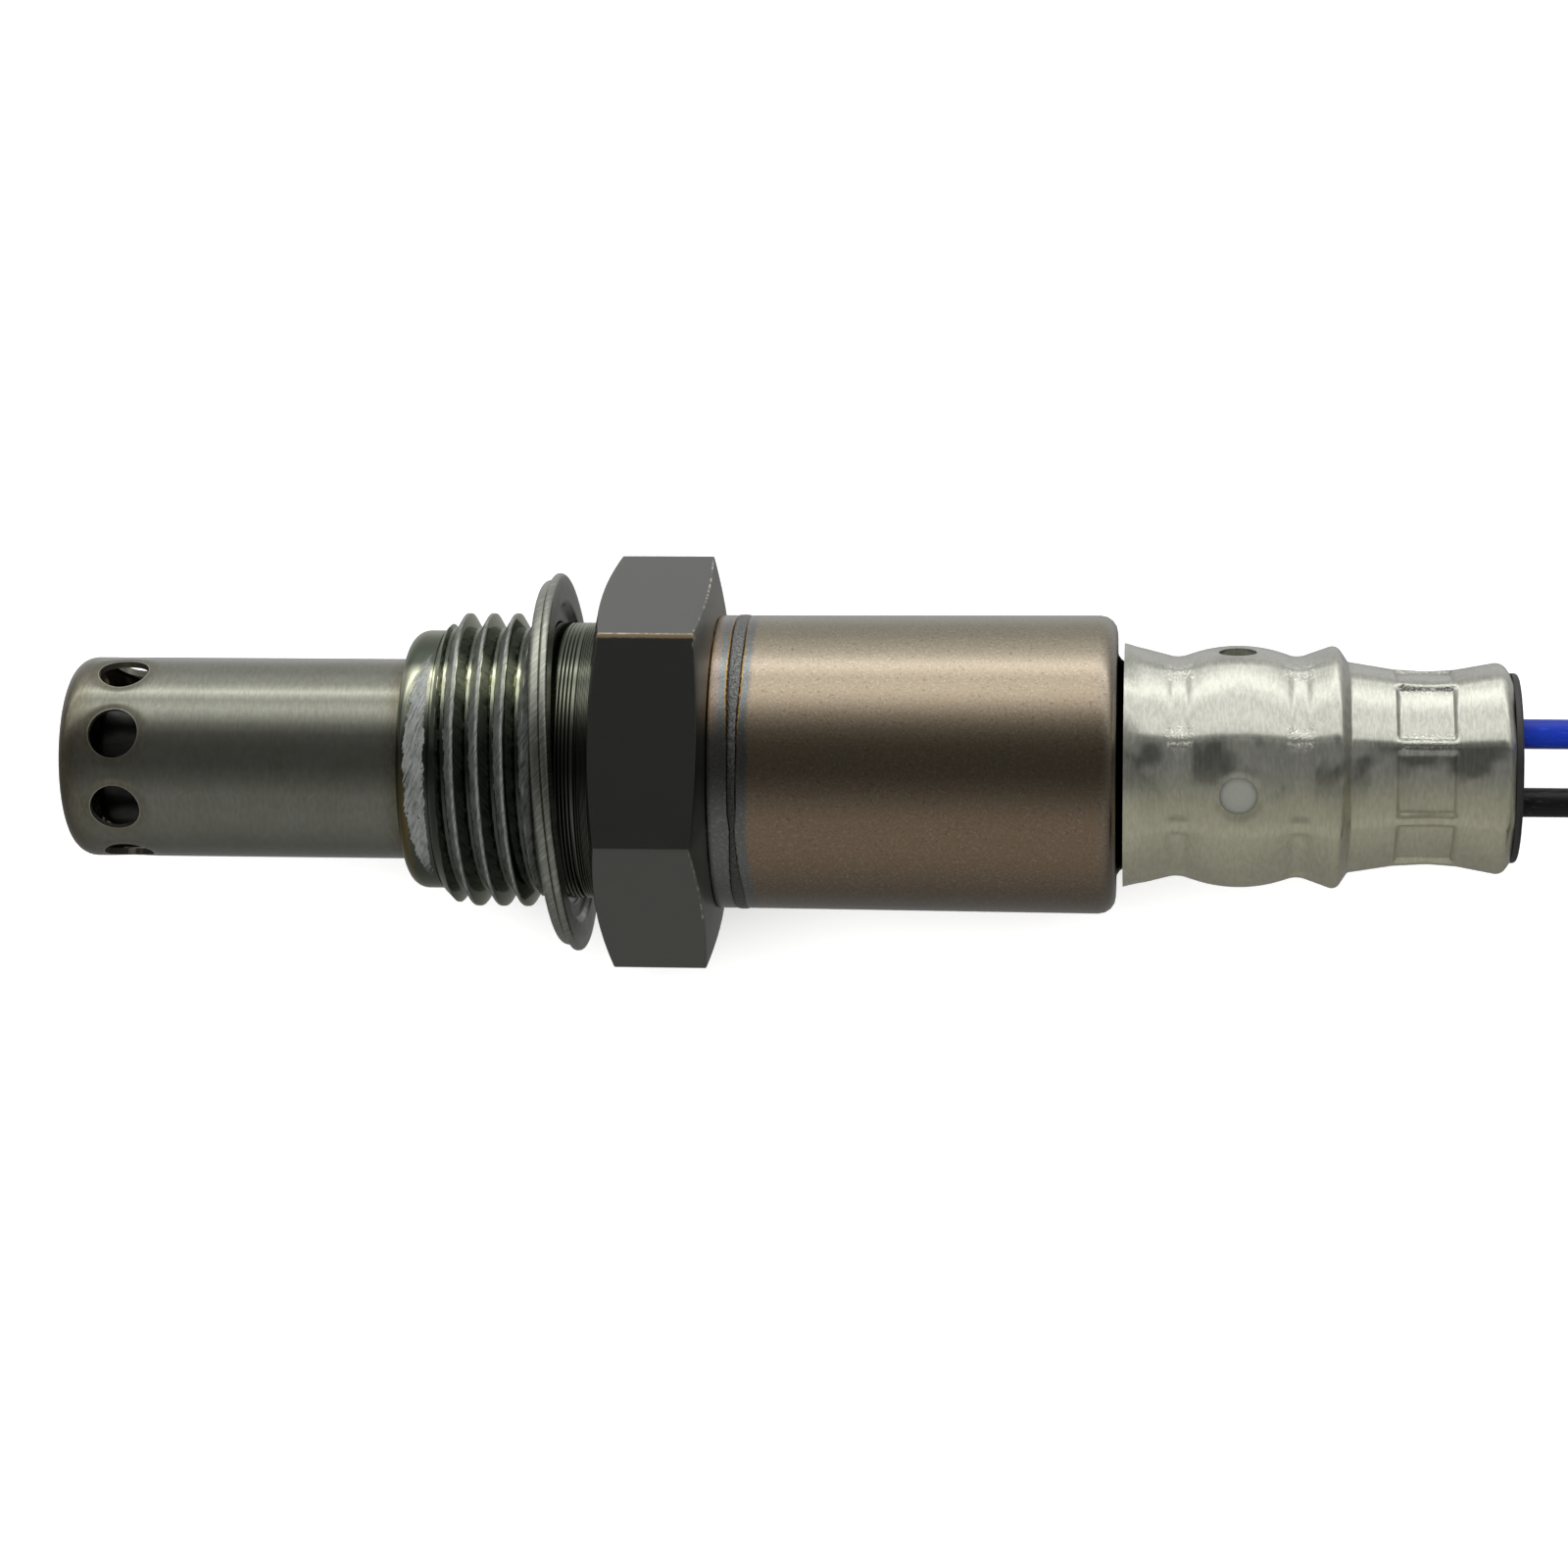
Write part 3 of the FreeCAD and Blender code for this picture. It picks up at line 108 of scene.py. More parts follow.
class Nodes:
    """The node tree of a finish or of the room."""

    def __init__(self, tree):
        self.tree = tree

    def node(self, kind, settings=None, values=None, output=0):
        """Add a node, its settings first, then the values or links of its sockets; gives one output."""
        made = self.tree.nodes.new(kind)
        for name, setting in (settings or {}).items():
            if name == "stops":
                self.set_stops(made.color_ramp.elements, setting)
            else:
                setattr(made, name, setting)
        for name, value in (values or {}).items():
            if isinstance(value, Field):
                self.tree.links.new(value.socket, made.inputs[name])
            else:
                made.inputs[name].default_value = value
        return Field(self, made.outputs[output])

    def math(self, operation, *values):
        return self.node("ShaderNodeMath", {"operation": operation}, dict(enumerate(values)))

    def set_stops(self, elements, stops):
        while len(elements) < len(stops):
            elements.new(1.0)
        for element, (place, colour) in zip(elements, stops):
            element.position = place
            element.color = (*colour, 1.0)

    def ramp(self, field, stops):
        """Colours at places from 0 to 1."""
        return self.node("ShaderNodeValToRGB", {"stops": stops}, {"Fac": field})

    def split(self, vector):
        """The three parts of a vector."""
        parts = self.node("ShaderNodeSeparateXYZ", {}, {"Vector": vector})
        return [Field(self, socket) for socket in parts.socket.node.outputs]

    def step(self, field, start, stop):
        """0 before start, 1 after stop, smooth between."""
        limits = {"Value": field, "From Min": start, "From Max": stop}
        return self.node("ShaderNodeMapRange", {"interpolation_type": "SMOOTHSTEP"}, limits)

    def band(self, field, start, stop, soft):
        """1 from start to stop, with soft ends."""
        rise = self.step(field, start - soft, start + soft)
        fall = self.step(field, stop - soft, stop + soft)
        return rise - fall

    def colour(self, mask, under, over):
        """One colour where the mask is 0, the other where it is 1."""
        under, over = (tint if isinstance(tint, Field) else (*tint, 1) for tint in (under, over))
        return self.node("ShaderNodeMix", {"data_type": "RGBA"}, {0: mask, 6: under, 7: over}, 2)

    def turned(self, y, z):
        """The angle about the X axis in degrees, from up towards +Y."""
        return self.math("ARCTAN2", y, z) * math.degrees(1)

    def ramp_by_turn(self, turn, stops):
        """Colours, or grey levels, at angles from -180 to 180."""
        places = [(angle + 180) / 360 for angle, _ in stops]
        colours = [level if isinstance(level, tuple) else (level,) * 3 for _, level in stops]
        return self.ramp((turn + 180) / 360, list(zip(places, colours)))


ROOM_BRIGHTNESS = 3.0
# how bright the room is all round the sensor's axis, by degrees from overhead towards the far side
ROOM_STOPS = [
    (-180, 0.08), (-150, 0.08), (-120, 0.1), (-95, 0.145), (-75, 0.17), (-45, 0.155), (-24, 0.07),
    (-10, 0.034), (12, 0.033), (26, 0.06), (38, 0.19), (48, 0.48), (57, 0.74), (62, 0.7), (69, 0.56),
    (76, 0.85), (81, 1.3), (86, 0.85), (94, 0.52), (104, 0.43), (116, 0.31), (130, 0.27), (150, 0.26),
    (180, 0.08),
]
ENDS_BRIGHTNESS = 0.06

world = bpy.data.worlds.new("studio")
bpy.context.scene.world = world
world.use_nodes = True
room = Nodes(world.node_tree)
direction = room.node("ShaderNodeTexCoord", output="Generated")
along, far_side, up = room.split(direction)
walls = room.ramp_by_turn(room.turned(far_side, up), ROOM_STOPS)
ends = along * along * along * along
light = room.colour(ends, walls, (ENDS_BRIGHTNESS,) * 3)
background = world.node_tree.nodes["Background"]
background.inputs["Strength"].default_value = ROOM_BRIGHTNESS
world.node_tree.links.new(light.socket, background.inputs["Color"])

FLOOR_SIZE = 30.0
FLOOR_COLOUR = (0.9, 0.9, 0.895, 1)
LAMP_SIZE = 1.2
LAMP_PLACE = (0, 0.1, 1.1)
LAMP_POWER = 18.0
FLOOR_GLOW = 0.3


class Finish(Nodes):
    """One material: its nodes, and the shader whose sockets they feed. Places are in millimetres."""

    def __init__(self, name, **constants):
        self.material = bpy.data.materials.new(name)
        self.material.use_nodes = True
        super().__init__(self.material.node_tree)
        self.shader = self.tree.nodes["Principled BSDF"]
        object_place = self.node("ShaderNodeTexCoord", output="Object")
        scaling = {0: object_place, "Scale": 1 / MM}
        self.place = self.node("ShaderNodeVectorMath", {"operation": "SCALE"}, scaling)
        self.x, self.y, self.z = self.split(self.place)
        for name, value in constants.items():
            self.shader.inputs[name.replace("_", " ").title().replace("Ior", "IOR")].default_value = value

    def around(self):
        return self.turned(self.y, self.z)

    def out(self):
        """The distance from the sensor's axis."""
        return self.math("SQRT", self.y * self.y + self.z * self.z)

    def noise(self, scale, detail=2.0, stretch=(1, 1, 1), rough=0.5):
        """Even noise from 0 to 1. The scale is in spots per millimetre."""
        vector = self.node("ShaderNodeVectorMath", {"operation": "MULTIPLY"}, {0: self.place, 1: stretch})
        settings = {"Vector": vector, "Scale": scale, "Detail": detail, "Roughness": rough}
        return self.node("ShaderNodeTexNoise", {}, settings)

    def streaks(self, lean, fine, long, detail=3.0):
        """Noise drawn out along lines that lean from the sensor's axis by an angle."""
        arc = self.around() * self.out() * math.radians(1)
        turn = math.radians(lean)
        run = self.x * math.cos(turn) + arc * math.sin(turn)
        aside = self.x * math.sin(turn) - arc * math.cos(turn)
        vector = self.node("ShaderNodeCombineXYZ", {}, {"X": run * long, "Y": aside * fine})
        return self.node("ShaderNodeTexNoise", {}, {"Vector": vector, "Scale": 1.0, "Detail": detail})

    def feed(self, **fields):
        for name, field in fields.items():
            self.tree.links.new(field.socket, self.shader.inputs[name.replace("_", " ").title()])

    def bump(self, *layers):
        """Relief from (height field, full height in millimetres) layers."""
        normal = None
        for height, depth in layers:
            values = {"Height": height, "Distance": depth * MM, "Strength": 1.0}
            if normal:
                values["Normal"] = normal
            normal = self.node("ShaderNodeBump", {}, values)
        self.feed(normal=normal)

    def on(self, *objects):
        for thing in objects:
            thing.data.materials.clear()
            thing.data.materials.append(self.material)


floor_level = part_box("gasket_ring")[0].z
bpy.ops.mesh.primitive_plane_add(size=FLOOR_SIZE, location=(0, 0, floor_level))
floor = bpy.context.object
floor.name = "floor"
floor.visible_glossy = False
floor_finish = Finish(
    "pale_floor", base_color=FLOOR_COLOUR, roughness=0.9, emission_color=FLOOR_COLOUR,
    emission_strength=FLOOR_GLOW)
floor_finish.on(floor)

lamp = bpy.data.objects.new("overhead_lamp", bpy.data.lights.new("overhead_lamp", "AREA"))
bpy.context.scene.collection.objects.link(lamp)
lamp.data.size = LAMP_SIZE
lamp.data.energy = LAMP_POWER
lamp.location = LAMP_PLACE
lamp.visible_glossy = False
lamp.visible_camera = False

# Leads.
# Four stranded copper wires in smooth plastic covers, blue, white and two black. They leave the
# rubber grommet side by side, run free for 35 mm, drop to the floor and go into the braided sleeve.
LEAD_DIAMETER = 1.75
LEAD_PITCH = 4.1
BUNDLE_PITCH = 1.84
BUNDLE_HEIGHT = -8.85
GROMMET_FACE = 58.77
# places along the sensor, and whether the leads lie there bundled on the floor
LEAD_STATIONS = [
    (58.2, False), (GROMMET_FACE, False), (67.2, False), (80.5, True), (91.0, True), (92.0, True)]
LEAD_CORNERS = {"blue": (1, 1), "black_1": (-1, 1), "white": (1, -1), "black_2": (-1, -1)}
LEAD_COLOURS = {"blue": (0.002, 0.018, 0.23), "black": (0.0025, 0.0025, 0.0025), "white": (0.5, 0.5, 0.48)}
LEAD_FLECKS = {"blue": (0.006, 0.03, 0.32), "black": (0.012, 0.012, 0.011), "white": (0.6, 0.6, 0.58)}


def laid_cord(name, points, diameter):
    """A round cord along one smooth spline through the room of its route's points, in millimetres."""
    curve = bpy.data.curves.new(name, "CURVE")
    curve.dimensions = "3D"
    curve.resolution_u = 16
    curve.bevel_depth = diameter / 2 * MM
    curve.bevel_resolution = 6
    curve.use_fill_caps = True
    spline = curve.splines.new("NURBS")
    spline.points.add(len(points) - 1)
    for control, point in zip(spline.points, points):
        control.co = (*(value * MM for value in point), 1)
    spline.order_u = 3
    spline.use_endpoint_u = True
    cord = bpy.data.objects.new(name, curve)
    bpy.context.scene.collection.objects.link(cord)
    return cord


def lead_finish(colour):
    """Extruded plastic, with the weave of the wire inside showing as faint crossing flecks."""
    finish = Finish(f"lead_cover_{colour}", specular_ior_level=0.22)
    turn = finish.noise(2.4, 1.0, (0.6, 2.6, 2.6))
    flecks = finish.step(turn, 0.60, 0.70)
    dark, pale = LEAD_COLOURS[colour], LEAD_FLECKS[colour]
    finish.feed(base_color=finish.colour(flecks, dark, pale), roughness=0.4 - flecks * 0.12)
    finish.bump((finish.noise(1.4, 2.0, (0.5, 2, 2)), 0.02), (flecks, 0.006))
    return finish


lead_finishes = {colour: lead_finish(colour) for colour in LEAD_COLOURS}
for name, (side, top) in LEAD_CORNERS.items():
    points = []
    for station, bundled in LEAD_STATIONS:
        reach = (BUNDLE_PITCH if bundled else LEAD_PITCH) / 2
        points.append((station, reach * side, reach * top + (BUNDLE_HEIGHT if bundled else 0)))
    lead = laid_cord(f"{name}_lead", points, LEAD_DIAMETER)
    colour = name.split("_")[0]
    lead_finishes[colour].on(lead)
    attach(lead, "root")
    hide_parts(f"lead_{name}")

# Harness sleeve.
# A braided polyester sleeve over the four leads, 204 mm long, limp. It veers off, turns back in one
# round bend on the floor and rises to the rear of the plug. Its strands cross over and under.
SLEEVE_DIAMETER = 5.5
SLEEVE_PLUG_HEIGHT = -4.6
# places along and across, and 1 where the sleeve is at the height of the plug's middle
SLEEVE_ROUTE = [
    (91.0, 0.0, 0), (112.0, 0.0, 0), (136.0, 3.2, 0), (158.0, 10.0, 0), (177.4, 12.6, 0),
    (188.3, 6.8, 0), (193.7, -4.2, 0), (191.5, -16.3, 0), (182.7, -24.9, 0), (170.5, -26.6, 0),
    (152.0, -25.4, 0), (136.0, -22.3, 0), (124.0, -22.0, 1), (115.0, -22.0, 1),
]
STRANDS_EACH_WAY = 8
STRAND_WIDTH = 1.75
STRAND_PITCH = 22.0
STRAND_LIFT = 0.09
STRAND_STEP = 0.25
SLEEVE_COLOUR = (0.022, 0.022, 0.024)
SLEEVE_COLOUR_WORN = (0.075, 0.073, 0.07)

heights = {0: BUNDLE_HEIGHT, 1: SLEEVE_PLUG_HEIGHT}
sleeve_points = [(x, y, heights[raised]) for x, y, raised in SLEEVE_ROUTE]
sleeve = laid_cord("harness_sleeve_core", sleeve_points, SLEEVE_DIAMETER - STRAND_LIFT * 4)


def spline_points(cord, step):
    """Evenly spaced points along a cord's own line, in millimetres."""
    depth = cord.data.bevel_depth
    cord.data.bevel_depth = 0
    bpy.context.view_layer.update()
    line = bpy.data.meshes.new_from_object(cord.evaluated_get(bpy.context.evaluated_depsgraph_get()))
    points = np.array([vertex.co for vertex in line.vertices]) / MM
    bpy.data.meshes.remove(line)
    cord.data.bevel_depth = depth
    run = np.concatenate([[0], np.cumsum(np.linalg.norm(np.diff(points, axis=0), axis=1))])
    places = np.linspace(0, run[-1], int(run[-1] / step) + 1)
    return places, np.stack([np.interp(places, run, points[:, axis]) for axis in range(3)], 1)


def mesh_piece(name, points, faces):
    """An object from points in millimetres."""
    mesh = bpy.data.meshes.new(name)
    mesh.from_pydata((np.asarray(points) * MM).tolist(), [], np.asarray(faces).tolist())
    mesh.shade_smooth()
    thing = bpy.data.objects.new(name, mesh)
    bpy.context.scene.collection.objects.link(thing)
    return thing


def woven_strands(places, line):
    """Flat strands in two crossing families, each wave over one crossing and under the next."""
    heading = np.gradient(line, axis=0)
    heading /= np.linalg.norm(heading, axis=1)[:, None]
    side = np.cross(heading, (0, 0, 1))
    side /= np.linalg.norm(side, axis=1)[:, None]
    top = np.cross(side, heading)
    middle = SLEEVE_DIAMETER / 2 - STRAND_LIFT * 1.5
    points, faces = [], []
    for way in (-1, 1):
        for strand in range(STRANDS_EACH_WAY):
            turn = way * 2 * math.pi * places / STRAND_PITCH + 2 * math.pi * strand / STRANDS_EACH_WAY
            crossings = 2 * STRANDS_EACH_WAY * places / STRAND_PITCH
            wave = way * np.cos(math.pi * (crossings + strand * way)) * STRAND_LIFT
            rows = []
            for across, raised in ((-0.5, -0.6), (-0.25, 0.5), (0, 0.8), (0.25, 0.5), (0.5, -0.6)):
                angle = turn + across * STRAND_WIDTH / middle
                radius = middle + wave + raised * STRAND_LIFT
                spoke = np.cos(angle)[:, None] * side + np.sin(angle)[:, None] * top
                rows.append(line + spoke * radius[:, None])
            grid = np.stack(rows, 1)
            count, wide = grid.shape[:2]
            index = sum(len(block) for block in points) + np.arange(count * wide).reshape(count, wide)
            points.append(grid.reshape(-1, 3))
            corners = (index[:-1, :-1], index[1:, :-1], index[1:, 1:], index[:-1, 1:])
            faces.append(np.stack(corners, -1).reshape(-1, 4))
    return np.concatenate(points), np.concatenate(faces)


places, line = spline_points(sleeve, STRAND_STEP)
braid = mesh_piece("harness_sleeve_braid", *woven_strands(places, line))
braided = Finish("sleeve_braid", roughness=0.55)
threads = braided.noise(5.0, 2.0)
worn = braided.step(threads, 0.5, 0.75)
braided.feed(
    base_color=braided.colour(worn * 0.6, SLEEVE_COLOUR, SLEEVE_COLOUR_WORN),
    roughness=0.62 - worn * 0.18)
braided.bump((threads, 0.05))
braided.on(sleeve, braid)
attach(sleeve, "root")
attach(braid, "root")
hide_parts("harness_sleeve")

# Protection covers.
# Two deep-drawn stainless cups, one in the other, over the sensing strip. The outer one has a ring
# of eight punched holes. Use has left it olive grey, browner at the holes, the tip and the shell.
COVER_WALL = 0.4
COVER_TIP_RADIUS = 1.33
COVER_HOLE_X = -25.87
COVER_HOLE_DIAMETER = 3.05
COVER_HOLE_TURN = 13.2
COVER_HOLES = 8
COVER_HOLE_DIMPLE = 0.07
COVER_HOLE_DIMPLE_WIDTH = 0.5
COVER_END_HOLE = 1.2
COVER_STEEL = (0.150, 0.154, 0.128)
COVER_BROWN = (0.085, 0.073, 0.042)
COVER_PALE_AND_HIGHLIGHT = (0.42, 0.40, 0.33)
INNER_COVER_STEEL = (0.05, 0.05, 0.048)
INNER_COVER_SOOT = (0.016, 0.016, 0.015)
COLUMNS = 288


def ends(name):
    """Where a CAD piece begins and ends along the sensor, in millimetres."""
    low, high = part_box(name)
    return low.x / MM, high.x / MM


def rounded_outline(corners, step):
    """Points of a closed outline of (along, out, rounding) corners, no further apart than a step."""
    corners = [tuple(corner) + (0,) * (3 - len(corner)) for corner in corners]
    points = []
    count = len(corners)
    for index, (along, out, rounding) in enumerate(corners):
        corner = Vector((along, out))
        if rounding:
            back = (Vector(corners[index - 1][:2]) - corner).normalized()
            ahead = (Vector(corners[(index + 1) % count][:2]) - corner).normalized()
            half = back.angle(ahead) / 2
            centre = corner + (back + ahead).normalized() * (rounding / math.sin(half))
            entry = corner + back * (rounding / math.tan(half)) - centre
            leave = corner + ahead * (rounding / math.tan(half)) - centre
            sweep = entry.angle_signed(leave)
            pieces = max(4, math.ceil(abs(sweep) * rounding / step))
            for piece in range(pieces + 1):
                turn = Matrix.Rotation(-sweep * piece / pieces, 2)
                points.append(centre + turn @ entry)
        else:
            points.append(corner)
    outline = []
    for index, point in enumerate(points):
        following = points[(index + 1) % len(points)]
        pieces = max(1, math.ceil((following - point).length / step))
        outline += [point.lerp(following, piece / pieces) for piece in range(pieces)]
    return np.array(outline)


def turned_piece(name, outline, turns, shape=None):
    """A tube-like piece from a closed outline about the X axis; shape moves its points by angle."""
    along = np.repeat(outline[:, :1], len(turns), 1)
    out = np.repeat(outline[:, 1:], len(turns), 1)
    angle = np.repeat(turns[None, :], len(outline), 0)
    if shape:
        along, out = shape(along, out, angle)
    radians = np.radians(angle)
    points = np.stack([along, out * np.sin(radians), out * np.cos(radians)], -1)
    index = np.arange(along.size).reshape(along.shape)
    below = np.roll(index, -1, 0)
    faces = np.stack([index, below, np.roll(below, -1, 1), np.roll(index, -1, 1)], -1)
    return mesh_piece(name, points.reshape(-1, 3), faces.reshape(-1, 4))


def drilled(piece, x, diameter, turn, count):
    """Drill round holes straight towards the axis."""
    for number in range(count):
        bpy.ops.mesh.primitive_cylinder_add(vertices=64, radius=diameter / 2 * MM, depth=12 * MM)
        drill = bpy.context.object
        spoke = Matrix.Rotation(math.radians(-(turn + 360 / count * number)), 4, "X")
        drill.matrix_world = Matrix.Translation((x * MM, 0, 0)) @ spoke @ Matrix.Translation((0, 0, 8 * MM))
        cut = piece.modifiers.new("drill", "BOOLEAN")
        cut.object = drill
        cut.solver = "EXACT"
        bpy.context.view_layer.update()
        mesh = bpy.data.meshes.new_from_object(piece.evaluated_get(bpy.context.evaluated_depsgraph_get()))
        piece.modifiers.clear()
        piece.data = mesh
        bpy.data.objects.remove(drill)


def sharpened(piece, angle=32):
    """Smooth shading, with a crease where the surface turns by more than an angle."""
    piece.data.shade_smooth()
    piece.data.set_sharp_from_angle(angle=math.radians(angle))


def smooth_step(value, start, stop):
    share = np.clip((value - start) / (stop - start), 0, 1)
    return share * share * (3 - 2 * share)


def off_nearest(angle, turn, count):
    """The angle from the nearest of a ring of like things, for numbers or for a field."""
    pitch = 360 / count
    return (angle - turn + pitch / 2) % pitch - pitch / 2


def hole_distance(along, out, angle, x, turn, count):
    """How far a point of the wall is from the middle of the nearest of a ring of holes."""
    return np.hypot(along - x, out * np.radians(off_nearest(angle, turn, count)))


def cover_shape(along, out, angle):
    """The punch has drawn the wall in a little round each hole."""
    distance = hole_distance(along, out, angle, COVER_HOLE_X, COVER_HOLE_TURN, COVER_HOLES)
    edge = COVER_HOLE_DIAMETER / 2
    pull = 1 - smooth_step(distance, edge, edge + COVER_HOLE_DIMPLE_WIDTH)
    return along, out - pull * COVER_HOLE_DIMPLE


cover_front, cover_rear = ends("outer_protection_cover")
cover_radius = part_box("outer_protection_cover")[1].y / MM
cover_inside = cover_radius - COVER_WALL
cover = turned_piece("outer_cover", rounded_outline([
    (cover_front, COVER_END_HOLE),
    (cover_front, cover_radius, COVER_TIP_RADIUS),
    (cover_rear, cover_radius),
    (cover_rear, cover_inside),
    (cover_front + COVER_WALL, cover_inside, COVER_TIP_RADIUS - COVER_WALL),
    (cover_front + COVER_WALL, COVER_END_HOLE),
], 0.25), np.arange(0, 360, 360 / COLUMNS), cover_shape)
drilled(cover, COVER_HOLE_X, COVER_HOLE_DIAMETER, COVER_HOLE_TURN, COVER_HOLES)
sharpened(cover)

shell_front = ends("threaded_shell")[0]
drawn = Finish("outer_cover_steel", metallic=0.92)
drawn_lines = drawn.noise(5.0, 3.0, (1.2, 0.35, 0.35), 0.7)
cover_grain = drawn.noise(7.0, 3.0)
cover_cloud = drawn.noise(0.35, 3.0)
hole_arc = off_nearest(drawn.around(), COVER_HOLE_TURN, COVER_HOLES) * drawn.out() * math.radians(1)
hole_run = drawn.x - COVER_HOLE_X
from_hole = drawn.math("SQRT", hole_arc * hole_arc + hole_run * hole_run)
near_holes = 1 - drawn.step(from_hole, COVER_HOLE_DIAMETER / 2, COVER_HOLE_DIAMETER / 2 + 1.0)
# painted highlight: a pale ring round each punched hole stands in for the lamps' glint on its cut edge,
# partly bare metal
hole_rim_highlight = drawn.band(from_hole, COVER_HOLE_DIAMETER / 2 - 0.1, COVER_HOLE_DIAMETER / 2 + 0.05, 0.03)
at_tip = 1 - drawn.step(drawn.x, cover_front + 0.6, cover_front + 2.6)
at_shell = drawn.step(drawn.x, shell_front - 1.2, shell_front - 0.1)
heat = (near_holes * 0.5 + at_tip * 0.75 + at_shell * 0.6 + cover_cloud * 0.5 - 0.2).clamped()
scratch = drawn.step(drawn.streaks(35, 4.5, 0.5), 0.66, 0.74)
tint = drawn.colour(heat, COVER_STEEL, COVER_BROWN)
tint = drawn.colour(drawn.step(drawn_lines, 0.35, 0.65) * 0.1, tint, COVER_PALE_AND_HIGHLIGHT)
drawn.feed(
    base_color=drawn.colour((scratch * 0.14 + hole_rim_highlight * 0.5).clamped(), tint, COVER_PALE_AND_HIGHLIGHT),
    roughness=0.07 + drawn_lines * 0.05 + cover_grain * 0.04 + heat * 0.06)
drawn.bump((drawn_lines, 0.0003), (cover_grain, 0.0002), (cover_cloud, 0.004))
drawn.on(cover)
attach(cover, "root")
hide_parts("outer_protection_cover")

sooted = Finish("inner_cover_steel", metallic=1.0)
soot = sooted.noise(2.5, 3.0, (0.5, 1, 1))
sooted.feed(
    base_color=sooted.colour(soot, INNER_COVER_STEEL, INNER_COVER_SOOT),
    roughness=0.34 + soot * 0.15)
sooted.bump((soot, 0.01))
sooted.on(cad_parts["inner_protection_cover"])

# Threaded shell.
# One piece turned from steel bar: a plain lead, an M18 x 1.5 right-hand thread, a neck with fine
# turning lines and a 22 mm hexagon. Black oxide covers it; a smear of silvery thread paste has
# dried on the lead and on the front flanks of the thread.
SHELL_BORE = 6.18
LEAD_RADIUS = 7.925
LEAD_CORNER = 1.0
LEAD_GROOVE_WIDTH = 0.2
LEAD_GROOVE_DEPTH = 0.06
THREAD_START = -6.05
THREAD_RADIUS = 9.0
THREAD_ROOT = 8.1
THREAD_PITCH = 1.5
THREAD_CREST_X = -3.43
THREAD_CREST_TURN = 90
THREAD_CHAMFER_RADIUS = 8.2
CREST_FLAT = 0.2
CREST_ROUNDING = 0.05
NECK_RADIUS = 8.45
GROOVE_STARTS = [1.62, 1.86, 2.1, 2.34] + [2.66 + 0.145 * number for number in range(7)]
GROOVE_WIDTH = 0.07
GROOVE_DEPTH = 0.04
NECK_FILLET = 0.35
HEX_FRONT = 3.8
HEX_REAR = 9.97
HEX_HALF_WIDTH = 11.0
HEX_TURN = 5.6
HEX_CORNER_ROUNDING = 0.12
HEX_FACE_RADIUS = 10.95
HEX_CHAMFER_LENGTH = 0.5
HEX_EDGE_ROUNDING = 0.1
SHOULDER_X = 10.6
SHOULDER_RADIUS = 9.1
SPIGOT_RADIUS = 8.37
LIP_RADIUS = 4.7
LIP_FRONT = 13.41
STACK_RADIUS = 5.9
STACK_SEAT = -2.1
GAS_BORE_REAR = -3.2
GAS_BORE_RADIUS = 3.6
COVER_SEAT = -6.4
HEX_OXIDE = (0.0025, 0.0025, 0.0022)
HEX_OXIDE_PAINTED_LIGHTER = (0.011, 0.0112, 0.009)
# the oxide's tint, by degrees from overhead, with painted glints: brighter where the lamps would show in it
THREAD_OXIDE_PAINTED_GLINTS = [
    (-180, (0.07, 0.076, 0.065)), (4, (0.07, 0.076, 0.065)), (24, (0.12, 0.13, 0.10)),
    (32, (0.34, 0.35, 0.26)), (41, (0.34, 0.35, 0.26)), (47, (0.075, 0.088, 0.07)),
    (70, (0.05, 0.058, 0.047)), (180, (0.07, 0.076, 0.065)),
]
# the neck's oxide, by degrees from overhead, with painted glints: lighter from 20 to 40 degrees where the
# lamps would reflect, darker above
NECK_OXIDE_PAINTED_GLINTS = [
    (-180, (0.1, 0.103, 0.088)), (2, (0.1, 0.103, 0.088)), (22, (0.16, 0.164, 0.13)),
    (33, (0.14, 0.147, 0.115)), (41, (0.12, 0.13, 0.1)), (47, (0.08, 0.088, 0.07)),
    (66, (0.07, 0.078, 0.064)), (180, (0.1, 0.103, 0.088)),
]
WORN_BROWN = (0.08, 0.053, 0.024)
WORN_BRIGHT_AND_HIGHLIGHT = (0.3, 0.28, 0.22)
PASTE = (0.225, 0.235, 0.225)
PASTE_THIN = (0.05, 0.055, 0.051)
GOLD_OXIDE = (0.16, 0.115, 0.04)
WORN_CREASE_TURN = HEX_TURN + 30
HEX_CORNER_RADIUS = HEX_HALF_WIDTH / math.cos(math.radians(30))
CONE_FALL = (HEX_CORNER_RADIUS - SHOULDER_RADIUS) / (SHOULDER_X - HEX_REAR)


def hexagon_radius(angle):
    """Distance from the axis to the hexagon, its corners slightly rounded."""
    off = off_nearest(angle, HEX_TURN, 6)
    flat = HEX_HALF_WIDTH / np.cos(np.radians(off))
    centre = HEX_CORNER_RADIUS - HEX_CORNER_ROUNDING / math.cos(math.radians(30))
    from_corner = np.radians(30 - np.abs(off))
    inside = np.clip(HEX_CORNER_ROUNDING ** 2 - (centre * np.sin(from_corner)) ** 2, 0, None)
    rounded = centre * np.cos(from_corner) + np.sqrt(inside)
    return np.where(inside > 0, np.minimum(flat, rounded), flat)


